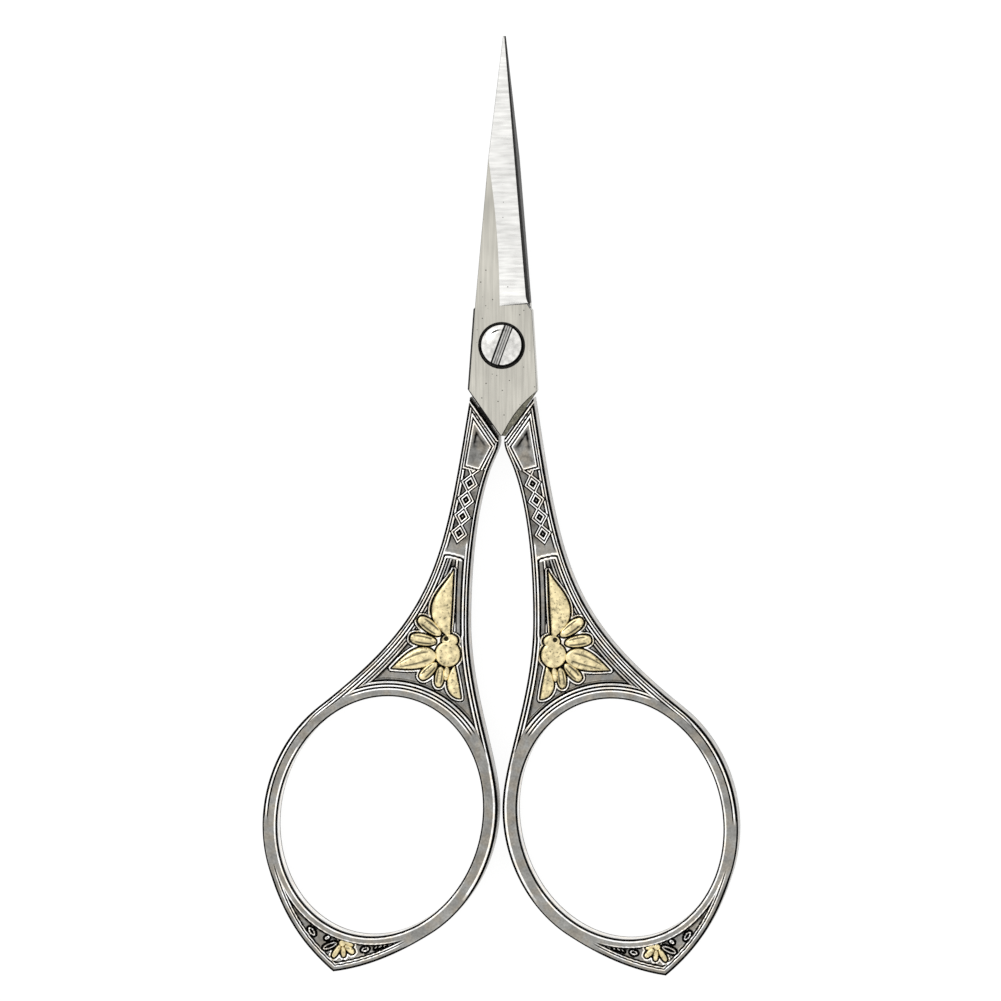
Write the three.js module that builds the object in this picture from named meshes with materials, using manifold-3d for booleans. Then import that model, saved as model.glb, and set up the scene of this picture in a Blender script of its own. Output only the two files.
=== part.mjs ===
// Embroidery scissors, closed and lying flat, in millimetres.
// The blades point along +Y and the finger rings lie along -Y. The origin is on the pivot's
// axis, in the plane that the handles' backs rest on. Each half is a stamped steel blade whose
// tang is held in a cast handle. The back half is the front half turned over about the Y axis,
// and a slotted screw passes through the front blade and threads into the back one.

import * as THREE from 'three';
import { mergeVertices } from 'three/addons/utils/BufferGeometryUtils.js';
import Module from 'manifold-3d';

// Blades: sizes seen from above, measured from the pivot's axis
const BLADE_THICKNESS = 2.25;
const RIDE_GAP = 0.1; // between the blades' inner faces
const BLADE_REACH = 38.1; // pivot to tip
const TIP_WIDTH = 0.3;
const EDGE_FOOT = 6.3; // where the cutting edge ends above the pivot
const EDGE_FOOT_SIDE = 3.0; // the edge's distance from the centre line there
const HEEL_TOP = 4.3; // top of the wide part below the cutting edge
const HEEL_SIDE = 3.98;
const SPINE_FOOT = 5.1; // where the straight spine ends above the pivot
const SPINE_FOOT_SIDE = 3.41;
const SHOULDER_DROP = 5.5; // pivot down to the blade's lower corners
const SHOULDER_EDGE_SIDE = 4.35;
const SHOULDER_SPINE_SIDE = 3.97;
const VALLEY_DROP = 11.1; // pivot down to the point of the V between the handles

// The ground bevel that makes the cutting edge
const EDGE_HEIGHT = 0.25; // thickness left at the edge
const BEVEL_SLOPE = 0.6; // rise per millimetre away from the edge
const BEVEL_FOOT = 5.1; // where the grinding runs out above the pivot
const BEVEL_OVERRUN = 0.35; // how far the wheel passes outside the edge line

// Tang and its socket in the handle
const TANG_THICKNESS = 1.0;
const TANG_WIDTH = 2.2;
const TANG_END_WIDTH = 1.5;
const TANG_DROP = 17.4; // pivot down to the tang's end
const TANG_ROOT = 3.0; // how far the tang reaches back under the blade's foot
const SOCKET_CLEARANCE = 0.12;

// Screw and its holes
const HEAD_DIAMETER = 5.2;
const HEAD_RIM = 0.55;
const HEAD_DOME = 0.75;
const HEAD_CLEARANCE = 0.25; // round the head, in its counterbore
const HEAD_PLAY = 0.05; // under the head
const COUNTERBORE_DEPTH = 0.8;
const SHANK_DIAMETER = 3.2;
const SHANK_CLEARANCE = 0.08;
const THREAD_DIAMETER = 2.6;
const THREAD_CLEARANCE = 0.1;
const TAIL_CHAMFER = 0.2;
const SLOT_WIDTH = 1.0;
const SLOT_DEPTH = 0.7;
const SLOT_LEAN = THREE.MathUtils.degToRad(20); // clockwise from the blades' line

// Finger ring: an oval hole in a band, leaning in towards the centre line
const HOLE_WIDTH = 25.0;
const HOLE_LENGTH = 29.8;
const RING_LEAN = THREE.MathUtils.degToRad(14);
const RING_BAND = 1.8;
const RING_GAP = 0.6; // between the two rings
const RING_DROP = 57.87; // pivot down to the middle of the hole

// Handle stem, between an outer and an inner rail
const SHOULDER_GAP = 0.45; // between a handle's shoulder and the other half's blade
const SHOULDER_SIDE = 3.88; // the handle's upper corner, from the centre line
const NOSE_LENGTH = 3.85; // from the shoulder's foot down to the neck
const NOSE_BULGE = 0.15;
const NECK_SIDE = 1.56; // the inner rail at the neck
const NECK_LEAN = THREE.MathUtils.degToRad(20);
const WAIST_SIDE = 3.97; // the inner rail where the handles stand widest apart
const WAIST_DROP = 33.95;
const RAIL_LEAN = THREE.MathUtils.degToRad(8.9); // the outer rail's outward lean at its top
const RAIL_TURN = THREE.MathUtils.degToRad(42); // where on the ring the outer rail ends
const EDGE_ROUNDING = 0.3;

// Pointed spur under the ring
const SPUR_REACH = 19.95; // middle of the hole to the spur's tip
const SPUR_BEARING = THREE.MathUtils.degToRad(-73.4);
const SPUR_INNER_TURN = THREE.MathUtils.degToRad(228); // where its underside leaves the ring
const SPUR_OUTER_TURN = THREE.MathUtils.degToRad(-34.5); // where its outer side leaves the ring
const SPUR_TIP_ANGLE = THREE.MathUtils.degToRad(131.6);

// Sunk panels of the handle, alike on both faces
const PANEL_DEPTH = 0.5;
const OUTER_BORDER = 1.2;
const INNER_BORDER = 0.9;
const NECK_BORDER = 0.95;
const KITE_BORDER = 1.2;
const SPUR_BORDER = 0.8;
const SPUR_PANEL_RIM = 1.25; // metal between the finger hole and the spur's panel
const FAN_RIM = 0.2; // the fan panel's distance from the ring's band
const KITE_TOP = 9.7;
const KITE_SIDE_TOP = 12.4;
const KITE_FOOT = 14.8;
const NECK_PANEL_TOP = 15.7;
const NECK_PANEL_FOOT = 25.2;
const FAN_TOP = 26.0;

// Raised ornament in the panels
const ORNAMENT_RISE = 0.42;
const LOZENGE_COUNT = 4;
const LOZENGE_TOP = 16.9;
const LOZENGE_PITCH = 2.03;
const LOZENGE_WIDTH = 1.5;
const LOZENGE_LENGTH = 1.8;
const FLOWER_DROP = 38.0;
const FLOWER_SETBACK = 0.3; // between the flower's disc and the inner border
const FLOWER_DISC = 2.7; // diameter
const FAN_PETALS = [ // bearing in degrees, reach and width from the disc's middle, point, sideways bow
  { bearing: 93, reach: 10.7, width: 2.6, pointed: 1.6, bow: -0.8 },
  { bearing: 47, reach: 5.5, width: 1.8, pointed: 1, bow: 0 },
  { bearing: 21, reach: 5.3, width: 1.7, pointed: 1, bow: 0 },
  { bearing: -14, reach: 7.8, width: 2.5, pointed: 1.6, bow: 0.3 },
  { bearing: -42, reach: 4.1, width: 1.4, pointed: 1, bow: 0 },
  { bearing: -68, reach: 4.1, width: 1.3, pointed: 1, bow: 0 },
  { bearing: -88, reach: 2.8, width: 0.9, pointed: 1, bow: 0 },
  { bearing: -108, reach: 5.6, width: 1.6, pointed: 1.5, bow: 0.35 },
];
const BUD_WIDTH = 2.4;
const BUD_OFFSET = 1.9;
const SPUR_FLOWER_PETALS = 5;
const SPUR_FLOWER_REACH = 1.25;
const SPUR_FLOWER_WIDTH = 0.8;

// Fineness of the curves
const RAIL_STEPS = 16;
const RING_STEPS = 24;
const SPUR_STEPS = 8;
const ROUND_STEPS = 32;
const PETAL_STEPS = 8;

const THICKNESS = 2 * BLADE_THICKNESS + RIDE_GAP; // of the handles, and of the crossed blades
const RIDE_FACE = THICKNESS - BLADE_THICKNESS; // the front blade's inner face
const COUNTERBORE_FLOOR = THICKNESS - COUNTERBORE_DEPTH;
const THROUGH = 1; // how far a cutter passes outside what it cuts

const wasm = await Module();
wasm.setup();

// A closed geometry as a solid for joining and cutting
function solidOf(geometry) {
  const bare = new THREE.BufferGeometry();
  bare.setAttribute('position', geometry.getAttribute('position'));
  bare.setIndex(geometry.getIndex());
  const merged = mergeVertices(bare);
  const corners = merged.getIndex().array;
  const kept = [];
  for (let i = 0; i < corners.length; i += 3) {
    const [a, b, c] = corners.slice(i, i + 3);
    if (a !== b && b !== c && c !== a) {
      kept.push(a, b, c);
    }
  }
  return new wasm.Manifold(new wasm.Mesh({
    numProp: 3,
    vertProperties: new Float32Array(merged.getAttribute('position').array),
    triVerts: new Uint32Array(kept),
  }));
}

// The mesh of a finished solid
function meshOf(name, solid, material) {
  const { vertProperties, triVerts } = solid.getMesh();
  const geometry = new THREE.BufferGeometry();
  geometry.setAttribute('position', new THREE.BufferAttribute(vertProperties, 3));
  geometry.setIndex(new THREE.BufferAttribute(triVerts, 1));
  geometry.computeVertexNormals();
  const mesh = new THREE.Mesh(geometry, material);
  mesh.name = name;
  return mesh;
}

// An outline carried straight up from one height to another
function slab(shape, low, high, steps = RAIL_STEPS) {
  const geometry = new THREE.ExtrudeGeometry(shape, {
    depth: high - low,
    bevelEnabled: false,
    curveSegments: steps,
  });
  return solidOf(geometry.translate(0, 0, low));
}

// A cylinder on the pivot's axis
function core(diameter, low, high) {
  const height = high - low;
  const geometry = new THREE.CylinderGeometry(diameter / 2, diameter / 2, height, ROUND_STEPS);
  return solidOf(geometry.rotateX(Math.PI / 2).translate(0, 0, low + height / 2));
}

// The V where the halves cross: a blade's stop face, and the handle's shoulder beside it
const valley = new THREE.Vector2(0, -VALLEY_DROP);
const stopTop = new THREE.Vector2(SHOULDER_SPINE_SIDE, -SHOULDER_DROP);
const stopHeading = stopTop.clone().sub(valley).normalize();
const stopNormal = new THREE.Vector2(stopHeading.y, -stopHeading.x);

// A point of the line parallel to the stop face, at a given side distance
function shoulderPoint(gap, side) {
  const foot = valley.clone().addScaledVector(stopNormal, gap);
  return foot.addScaledVector(stopHeading, (side - foot.x) / stopHeading.x);
}
const shoulderTop = shoulderPoint(SHOULDER_GAP, SHOULDER_SIDE);
const shoulderFoot = valley.clone().addScaledVector(stopNormal, SHOULDER_GAP);

// The oval that lies `grown` outside the finger hole
const outerHalfWidth = HOLE_WIDTH / 2 + RING_BAND;
const outerHalfLength = HOLE_LENGTH / 2 + RING_BAND;
const ringReach = Math.hypot(
  outerHalfWidth * Math.cos(RING_LEAN),
  outerHalfLength * Math.sin(RING_LEAN),
);
const ringCentre = new THREE.Vector2(ringReach + RING_GAP / 2, -RING_DROP);
const origin = new THREE.Vector2();

function ringPoint(turn, grown) {
  const point = new THREE.Vector2(
    (HOLE_WIDTH / 2 + grown) * Math.cos(turn),
    (HOLE_LENGTH / 2 + grown) * Math.sin(turn),
  );
  return point.rotateAround(origin, RING_LEAN).add(ringCentre);
}

// The way that the oval runs, anticlockwise, at a point of its outer edge
function ringHeading(turn) {
  const heading = new THREE.Vector2(
    -outerHalfWidth * Math.sin(turn),
    outerHalfLength * Math.cos(turn),
  );
  return heading.rotateAround(origin, RING_LEAN).normalize();
}

function ringOval(grown) {
  const shape = new THREE.Shape();
  const halfWidth = HOLE_WIDTH / 2 + grown;
  const halfLength = HOLE_LENGTH / 2 + grown;
  shape.absellipse(
    ringCentre.x, ringCentre.y, halfWidth, halfLength, 0, 2 * Math.PI, false, RING_LEAN,
  );
  return shape;
}

// The rails run down the stem, each as a chain of curves
const ringInnerTurn = Math.PI - Math.atan(outerHalfLength * Math.tan(RING_LEAN) / outerHalfWidth);
const ringInner = ringPoint(ringInnerTurn, RING_BAND);
const neck = new THREE.Vector2(NECK_SIDE, shoulderFoot.y - NOSE_LENGTH);
const waist = new THREE.Vector2(WAIST_SIDE, -WAIST_DROP);
const railEnd = ringPoint(RAIL_TURN, RING_BAND);

function lean(angle) {
  return new THREE.Vector2(Math.sin(angle), -Math.cos(angle));
}

function bend(start, startHeading, startPull, end, endHeading, endPull) {
  const span = start.distanceTo(end);
  return new THREE.CubicBezierCurve(
    start,
    start.clone().addScaledVector(startHeading, startPull * span),
    end.clone().addScaledVector(endHeading, -endPull * span),
    end,
  );
}

const down = lean(0);
const railEndHeading = ringHeading(RAIL_TURN).negate();
const noseHeading = new THREE.Vector2(-NOSE_BULGE, -1).normalize();
const outerRail = [bend(shoulderTop, lean(RAIL_LEAN), 0.5, railEnd, railEndHeading, 0.43)];
const innerRail = [
  bend(shoulderFoot, noseHeading, 0.3, neck, lean(NECK_LEAN), 0.5),
  bend(neck, lean(NECK_LEAN), 0.3, waist, down, 0.3),
  bend(waist, down, 0.4, ringInner, down, 0.25),
];

// A point of a rail, moved in from the silhouette: side is 1 for the inner rail, -1 for the outer
function railPoint(rail, share, side, inset) {
  const place = share * rail.length;
  const index = Math.min(Math.floor(place), rail.length - 1);
  const point = rail[index].getPoint(place - index);
  const heading = rail[index].getTangent(place - index);
  const inward = new THREE.Vector2(-heading.y, heading.x).multiplyScalar(side);
  return point.addScaledVector(inward, inset);
}

// How far along a rail its inset line reaches a given drop below the pivot, by halving
function shareAtDrop(rail, side, inset, drop) {
  let low = 0;
  let high = 1;
  for (let i = 0; i < 30; i += 1) {
    const middle = (low + high) / 2;
    if (-railPoint(rail, middle, side, inset).y < drop) {
      low = middle;
    } else {
      high = middle;
    }
  }
  return low;
}

function railAtDrop(rail, side, inset, drop) {
  return railPoint(rail, shareAtDrop(rail, side, inset, drop), side, inset);
}

// Points along an inset rail between two drops
function railRun(rail, side, inset, topDrop, footDrop) {
  const from = shareAtDrop(rail, side, inset, topDrop);
  const to = shareAtDrop(rail, side, inset, footDrop);
  const points = [];
  for (let i = 0; i <= RAIL_STEPS; i += 1) {
    points.push(railPoint(rail, from + (to - from) * i / RAIL_STEPS, side, inset));
  }
  return points;
}

// The middle of the stem at a drop below the pivot
function stemMiddle(drop) {
  const outer = railAtDrop(outerRail, -1, 0, drop);
  const inner = railAtDrop(innerRail, 1, 0, drop);
  return outer.add(inner).multiplyScalar(0.5);
}

// The spur's two sides, drawn in by an inset: each leaves the oval smoothly and ends at the tip
function spurSides(inset) {
  const grown = RING_BAND - inset;
  const reach = SPUR_REACH - inset / Math.sin(SPUR_TIP_ANGLE / 2);
  const bearing = new THREE.Vector2(Math.cos(SPUR_BEARING), Math.sin(SPUR_BEARING));
  const tip = ringCentre.clone().addScaledVector(bearing, reach);
  const backward = Math.PI - SPUR_TIP_ANGLE / 2;
  const underHeading = bearing.clone().rotateAround(origin, Math.PI - backward);
  const sideHeading = bearing.clone().rotateAround(origin, backward - Math.PI);
  const underStart = ringPoint(SPUR_INNER_TURN, grown);
  const sideStart = ringPoint(SPUR_OUTER_TURN, grown);
  return {
    under: bend(underStart, ringHeading(SPUR_INNER_TURN), 0.36, tip, underHeading, 0.33),
    side: bend(sideStart, ringHeading(SPUR_OUTER_TURN).negate(), 0.42, tip, sideHeading, 0.33),
  };
}

// The handle seen from above, with the finger hole
function handleOutline() {
  const shape = new THREE.Shape();
  const ringArc = (from, to) => shape.absellipse(
    ringCentre.x, ringCentre.y, outerHalfWidth, outerHalfLength, from, to, false, RING_LEAN,
  );
  const follow = (curve) => shape.bezierCurveTo(
    curve.v1.x, curve.v1.y, curve.v2.x, curve.v2.y, curve.v3.x, curve.v3.y,
  );
  const followBack = (curve) => shape.bezierCurveTo(
    curve.v2.x, curve.v2.y, curve.v1.x, curve.v1.y, curve.v0.x, curve.v0.y,
  );
  const spur = spurSides(0);
  shape.moveTo(shoulderTop.x, shoulderTop.y);
  shape.lineTo(shoulderFoot.x, shoulderFoot.y);
  innerRail.forEach(follow);
  ringArc(ringInnerTurn, SPUR_INNER_TURN);
  follow(spur.under);
  followBack(spur.side);
  ringArc(SPUR_OUTER_TURN, RAIL_TURN);
  outerRail.forEach(followBack);
  shape.holes.push(ringOval(0));
  return shape;
}

// The cast blank: the outline at full thickness, with its edges rounded over
function handleBlank() {
  const geometry = new THREE.ExtrudeGeometry(handleOutline(), {
    depth: THICKNESS - 2 * EDGE_ROUNDING,
    bevelThickness: EDGE_ROUNDING,
    bevelSize: EDGE_ROUNDING,
    bevelOffset: -EDGE_ROUNDING,
    bevelSegments: 2,
    curveSegments: RAIL_STEPS,
  });
  return solidOf(geometry.translate(0, 0, EDGE_ROUNDING));
}

// The kite panel at the shoulder, the neck panel, the fan panel and the spur's panel, as outlines
function panelShapes() {
  const kite = new THREE.Shape([
    railAtDrop(outerRail, -1, KITE_BORDER, KITE_TOP),
    railAtDrop(outerRail, -1, KITE_BORDER, KITE_FOOT),
    railAtDrop(innerRail, 1, KITE_BORDER, KITE_FOOT),
    railAtDrop(innerRail, 1, KITE_BORDER, KITE_SIDE_TOP),
  ]);
  const between = (outerInset, innerInset, topDrop, footDrop) => new THREE.Shape([
    ...railRun(outerRail, -1, outerInset, topDrop, Math.min(footDrop, -railEnd.y)),
    ...railRun(innerRail, 1, innerInset, topDrop, footDrop).reverse(),
  ]);
  const spur = spurSides(SPUR_BORDER);
  const spurPanel = new THREE.Shape([
    ...spur.under.getPoints(SPUR_STEPS),
    ...spur.side.getPoints(SPUR_STEPS).reverse().slice(1),
  ]);
  return {
    kite,
    neckPanel: between(NECK_BORDER, NECK_BORDER, NECK_PANEL_TOP, NECK_PANEL_FOOT),
    fan: between(OUTER_BORDER, INNER_BORDER, FAN_TOP, RING_DROP),
    spurPanel,
  };
}

// A panel's cutter on one face: face is 1 for the front, -1 for the back
function panelCutter(shape, face) {
  const low = face > 0 ? THICKNESS - PANEL_DEPTH : -THROUGH;
  const high = face > 0 ? THICKNESS + THROUGH : PANEL_DEPTH;
  return slab(shape, low, high);
}

// The floor of the panels on one face
function panelFloor(face) {
  return face > 0 ? THICKNESS - PANEL_DEPTH : PANEL_DEPTH;
}

// A domed petal lying along +X from its root, drawn out of a sphere whose poles are its ends.
// Its middle line bows out sideways by `bow` half way along
function petal(reach, width, pointed, bow = 0) {
  const geometry = new THREE.SphereGeometry(1, PETAL_STEPS, PETAL_STEPS).rotateZ(-Math.PI / 2);
  const position = geometry.getAttribute('position');
  for (let i = 0; i < position.count; i += 1) {
    const share = (position.getX(i) + 1) / 2;
    const girth = Math.hypot(position.getY(i), position.getZ(i));
    const narrowing = girth > 0 ? girth ** (pointed - 1) * (0.6 + 0.4 * share) : 0;
    position.setXYZ(
      i,
      share * reach,
      position.getY(i) * narrowing * width / 2 + 4 * bow * share * (1 - share),
      position.getZ(i) * ORNAMENT_RISE,
    );
  }
  return geometry;
}

// A flat dome
function boss(diameter) {
  const geometry = new THREE.SphereGeometry(1, 16, 8).rotateX(Math.PI / 2);
  return geometry.scale(diameter / 2, diameter / 2, ORNAMENT_RISE);
}

// A lozenge is a low pyramid on a rhombus. Half its height is sunk in the panel's floor, where
// it has half its foot's size
function lozenge() {
  const geometry = new THREE.ConeGeometry(1, 2 * ORNAMENT_RISE, 4).rotateX(Math.PI / 2);
  return geometry.scale(LOZENGE_WIDTH, LOZENGE_LENGTH, 1);
}

// The ornament on one face
function ornaments(face) {
  const solids = [];
  const place = (geometry, at, bearing = 0) => {
    geometry.rotateX(face > 0 ? 0 : Math.PI);
    geometry.rotateZ(bearing);
    geometry.translate(at.x, at.y, panelFloor(face));
    solids.push(solidOf(geometry));
  };
  for (let i = 0; i < LOZENGE_COUNT; i += 1) {
    place(lozenge(), stemMiddle(LOZENGE_TOP + i * LOZENGE_PITCH));
  }
  const disc = railAtDrop(innerRail, 1, INNER_BORDER, FLOWER_DROP);
  disc.x += FLOWER_SETBACK + FLOWER_DISC / 2;
  FAN_PETALS.forEach(({ bearing, reach, width, pointed, bow }) => {
    place(petal(reach, width, pointed, bow), disc, THREE.MathUtils.degToRad(bearing));
  });
  place(boss(FLOWER_DISC), disc);
  place(boss(BUD_WIDTH), new THREE.Vector2(disc.x, disc.y + BUD_OFFSET));
  const bearing = new THREE.Vector2(Math.cos(SPUR_BEARING), Math.sin(SPUR_BEARING));
  const panelRim = HOLE_LENGTH / 2 + SPUR_PANEL_RIM;
  const flowerReach = (panelRim + SPUR_REACH - SPUR_BORDER) / 2;
  const flower = ringCentre.clone().addScaledVector(bearing, flowerReach);
  for (let i = 0; i < SPUR_FLOWER_PETALS; i += 1) {
    const turn = 2 * Math.PI * i / SPUR_FLOWER_PETALS;
    place(petal(SPUR_FLOWER_REACH, SPUR_FLOWER_WIDTH, 1), flower, turn);
  }
  return solids;
}

// The tang's outline, from under the blade's foot down the middle of the neck
function tangOutline(clearance) {
  const mouth = shoulderTop.clone().add(shoulderFoot).multiplyScalar(0.5);
  const end = stemMiddle(TANG_DROP);
  const heading = end.clone().sub(mouth).normalize();
  const across = new THREE.Vector2(-heading.y, heading.x);
  const root = mouth.clone().addScaledVector(heading, -TANG_ROOT);
  end.addScaledVector(heading, clearance);
  const rootHalf = TANG_WIDTH / 2 + clearance;
  const endHalf = TANG_END_WIDTH / 2 + clearance;
  return new THREE.Shape([
    root.clone().addScaledVector(across, rootHalf),
    root.clone().addScaledVector(across, -rootHalf),
    end.clone().addScaledVector(across, -endHalf),
    end.clone().addScaledVector(across, endHalf),
  ]);
}

// The cast handle with its panels, ornament and the tang's socket
function handleSolid() {
  const panels = panelShapes();
  let solid = handleBlank();
  for (const face of [1, -1]) {
    const fanRim = slab(ringOval(RING_BAND + FAN_RIM), -THROUGH, THICKNESS + THROUGH, RING_STEPS);
    const spurRim = slab(ringOval(SPUR_PANEL_RIM), -THROUGH, THICKNESS + THROUGH, RING_STEPS);
    solid = solid.subtract(panelCutter(panels.kite, face));
    solid = solid.subtract(panelCutter(panels.neckPanel, face));
    solid = solid.subtract(panelCutter(panels.fan, face).subtract(fanRim));
    solid = solid.subtract(panelCutter(panels.spurPanel, face).subtract(spurRim));
    for (const ornament of ornaments(face)) {
      solid = solid.add(ornament);
    }
  }
  const low = RIDE_FACE - SOCKET_CLEARANCE;
  const high = RIDE_FACE + TANG_THICKNESS + SOCKET_CLEARANCE;
  return solid.subtract(slab(tangOutline(SOCKET_CLEARANCE), low, high));
}

// The blade seen from above, at full thickness
function bladeOutline() {
  const shape = new THREE.Shape();
  shape.moveTo(-TIP_WIDTH / 2, BLADE_REACH);
  shape.lineTo(TIP_WIDTH / 2, BLADE_REACH);
  shape.lineTo(EDGE_FOOT_SIDE, EDGE_FOOT);
  shape.quadraticCurveTo(EDGE_FOOT_SIDE, (EDGE_FOOT + HEEL_TOP) / 2, HEEL_SIDE, HEEL_TOP);
  shape.lineTo(SHOULDER_EDGE_SIDE, -SHOULDER_DROP);
  shape.bezierCurveTo(
    SHOULDER_EDGE_SIDE / 2, -(2 * SHOULDER_DROP + VALLEY_DROP) / 3,
    SHOULDER_EDGE_SIDE / 3, -(SHOULDER_DROP + VALLEY_DROP) / 2,
    valley.x, valley.y,
  );
  shape.lineTo(-stopTop.x, stopTop.y);
  shape.lineTo(-SPINE_FOOT_SIDE, SPINE_FOOT);
  shape.closePath();
  return shape;
}

// What grinding takes off above the bevel, running from the bevel's foot past the tip
function bevelCutter() {
  const foot = new THREE.Vector3(EDGE_FOOT_SIDE, EDGE_FOOT, 0);
  const tip = new THREE.Vector3(TIP_WIDTH / 2, BLADE_REACH, 0);
  const along = tip.clone().sub(foot).normalize();
  const up = new THREE.Vector3(0, 0, 1);
  const inward = up.clone().cross(along);
  const width = 2 * (EDGE_FOOT_SIDE + SPINE_FOOT_SIDE);
  const top = BLADE_THICKNESS + THROUGH;
  const section = new THREE.Shape([
    new THREE.Vector2(-BEVEL_OVERRUN, EDGE_HEIGHT - BEVEL_SLOPE * BEVEL_OVERRUN),
    new THREE.Vector2(width, EDGE_HEIGHT + BEVEL_SLOPE * width),
    new THREE.Vector2(width, Math.max(top, EDGE_HEIGHT + BEVEL_SLOPE * width) + THROUGH),
    new THREE.Vector2(-BEVEL_OVERRUN, top + THROUGH),
  ]);
  const runOut = foot.clone().addScaledVector(along, (BEVEL_FOOT - EDGE_FOOT) / along.y);
  const geometry = new THREE.ExtrudeGeometry(section, {
    depth: runOut.distanceTo(tip) + THROUGH,
    bevelEnabled: false,
  });
  geometry.applyMatrix4(new THREE.Matrix4().makeBasis(inward, up, along));
  geometry.translate(runOut.x, runOut.y, RIDE_FACE);
  return solidOf(geometry);
}

// The thin step below the blade's foot, which ends short of the handle's shoulder
function stepOutline() {
  const foot = shoulderPoint(SHOULDER_GAP - SOCKET_CLEARANCE, shoulderFoot.x);
  const top = shoulderPoint(SHOULDER_GAP - SOCKET_CLEARANCE, SHOULDER_SIDE);
  return new THREE.Shape([
    new THREE.Vector2(SHOULDER_EDGE_SIDE, -SHOULDER_DROP),
    top,
    foot,
    valley,
    new THREE.Vector2(0, -SHOULDER_DROP),
  ]);
}

// The stamped blade with its bevel and its tang
function bladeSolid() {
  const stepTop = RIDE_FACE + TANG_THICKNESS;
  return slab(bladeOutline(), RIDE_FACE, THICKNESS)
    .subtract(bevelCutter())
    .add(slab(stepOutline(), RIDE_FACE, stepTop))
    .add(slab(tangOutline(0), RIDE_FACE, stepTop));
}

// The front blade turns on the screw's shank, and the head lies in its counterbore
function frontBladeSolid() {
  const bore = core(SHANK_DIAMETER + 2 * SHANK_CLEARANCE, RIDE_FACE - THROUGH, THICKNESS + THROUGH);
  const counterbore = core(
    HEAD_DIAMETER + 2 * HEAD_CLEARANCE, COUNTERBORE_FLOOR, THICKNESS + THROUGH,
  );
  return bladeSolid().subtract(bore).subtract(counterbore);
}

// The back blade holds the screw's thread
function backBladeSolid() {
  const bore = core(THREAD_DIAMETER + 2 * THREAD_CLEARANCE, RIDE_FACE - THROUGH, THICKNESS + THROUGH);
  return bladeSolid().subtract(bore);
}

// The screw: a tail flush with the back blade, a wider shank and a slotted domed head
function screwSolid() {
  const shankFoot = BLADE_THICKNESS;
  const headFoot = COUNTERBORE_FLOOR + HEAD_PLAY;
  const rimTop = headFoot + HEAD_RIM;
  const profile = [
    new THREE.Vector2(0, 0),
    new THREE.Vector2(THREAD_DIAMETER / 2 - TAIL_CHAMFER, 0),
    new THREE.Vector2(THREAD_DIAMETER / 2, TAIL_CHAMFER),
    new THREE.Vector2(THREAD_DIAMETER / 2, shankFoot),
    new THREE.Vector2(SHANK_DIAMETER / 2, shankFoot),
    new THREE.Vector2(SHANK_DIAMETER / 2, headFoot),
  ];
  const domeSteps = 6;
  for (let i = 0; i <= domeSteps; i += 1) {
    const angle = Math.PI / 2 * i / domeSteps;
    const radius = HEAD_DIAMETER / 2 * Math.cos(angle);
    if (i === 0) {
      profile.push(new THREE.Vector2(radius, headFoot));
    }
    profile.push(new THREE.Vector2(radius, rimTop + HEAD_DOME * Math.sin(angle)));
  }
  profile[profile.length - 1].x = 0;
  const turned = new THREE.LatheGeometry(profile, ROUND_STEPS).rotateX(Math.PI / 2);
  const slot = new THREE.BoxGeometry(SLOT_WIDTH, HEAD_DIAMETER + THROUGH, SLOT_DEPTH + THROUGH);
  slot.rotateZ(-SLOT_LEAN);
  slot.translate(0, 0, rimTop + HEAD_DOME - SLOT_DEPTH + (SLOT_DEPTH + THROUGH) / 2);
  return solidOf(turned).subtract(solidOf(slot));
}

const bladeSteel = new THREE.MeshStandardMaterial({
  name: 'brushed_blade_steel', color: 0xc8c6be, roughness: 0.35, metalness: 1,
});
const castMetal = new THREE.MeshStandardMaterial({
  name: 'antiqued_cast_metal', color: 0x8f8c86, roughness: 0.45, metalness: 1,
});
const screwSteel = new THREE.MeshStandardMaterial({
  name: 'bright_screw_steel', color: 0xd8d6cf, roughness: 0.2, metalness: 1,
});

const handle = handleSolid();
const frontHalf = new THREE.Group();
frontHalf.add(meshOf('front_blade', frontBladeSolid(), bladeSteel));
frontHalf.add(meshOf('front_handle', handle, castMetal));

const backHalf = new THREE.Group();
backHalf.add(meshOf('back_blade', backBladeSolid(), bladeSteel));
backHalf.add(meshOf('back_handle', handle, castMetal));
backHalf.rotation.y = Math.PI;
backHalf.position.z = THICKNESS;

const scissors = new THREE.Group();
scissors.add(frontHalf, backHalf, meshOf('pivot_screw', screwSolid(), screwSteel));

export default scissors;
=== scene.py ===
"""Embroidery scissors, closed and lying on a white table, seen from above.

The blades point along +Y and the finger rings lie along -Y. Each half is a steel blade held in a
cast handle, and the back half is the front half turned over. Shapes are worked out in millimetres
and put into the meshes in metres.
"""

import bmesh
import bpy
import numpy as np
from mathutils import Matrix, Vector


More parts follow.
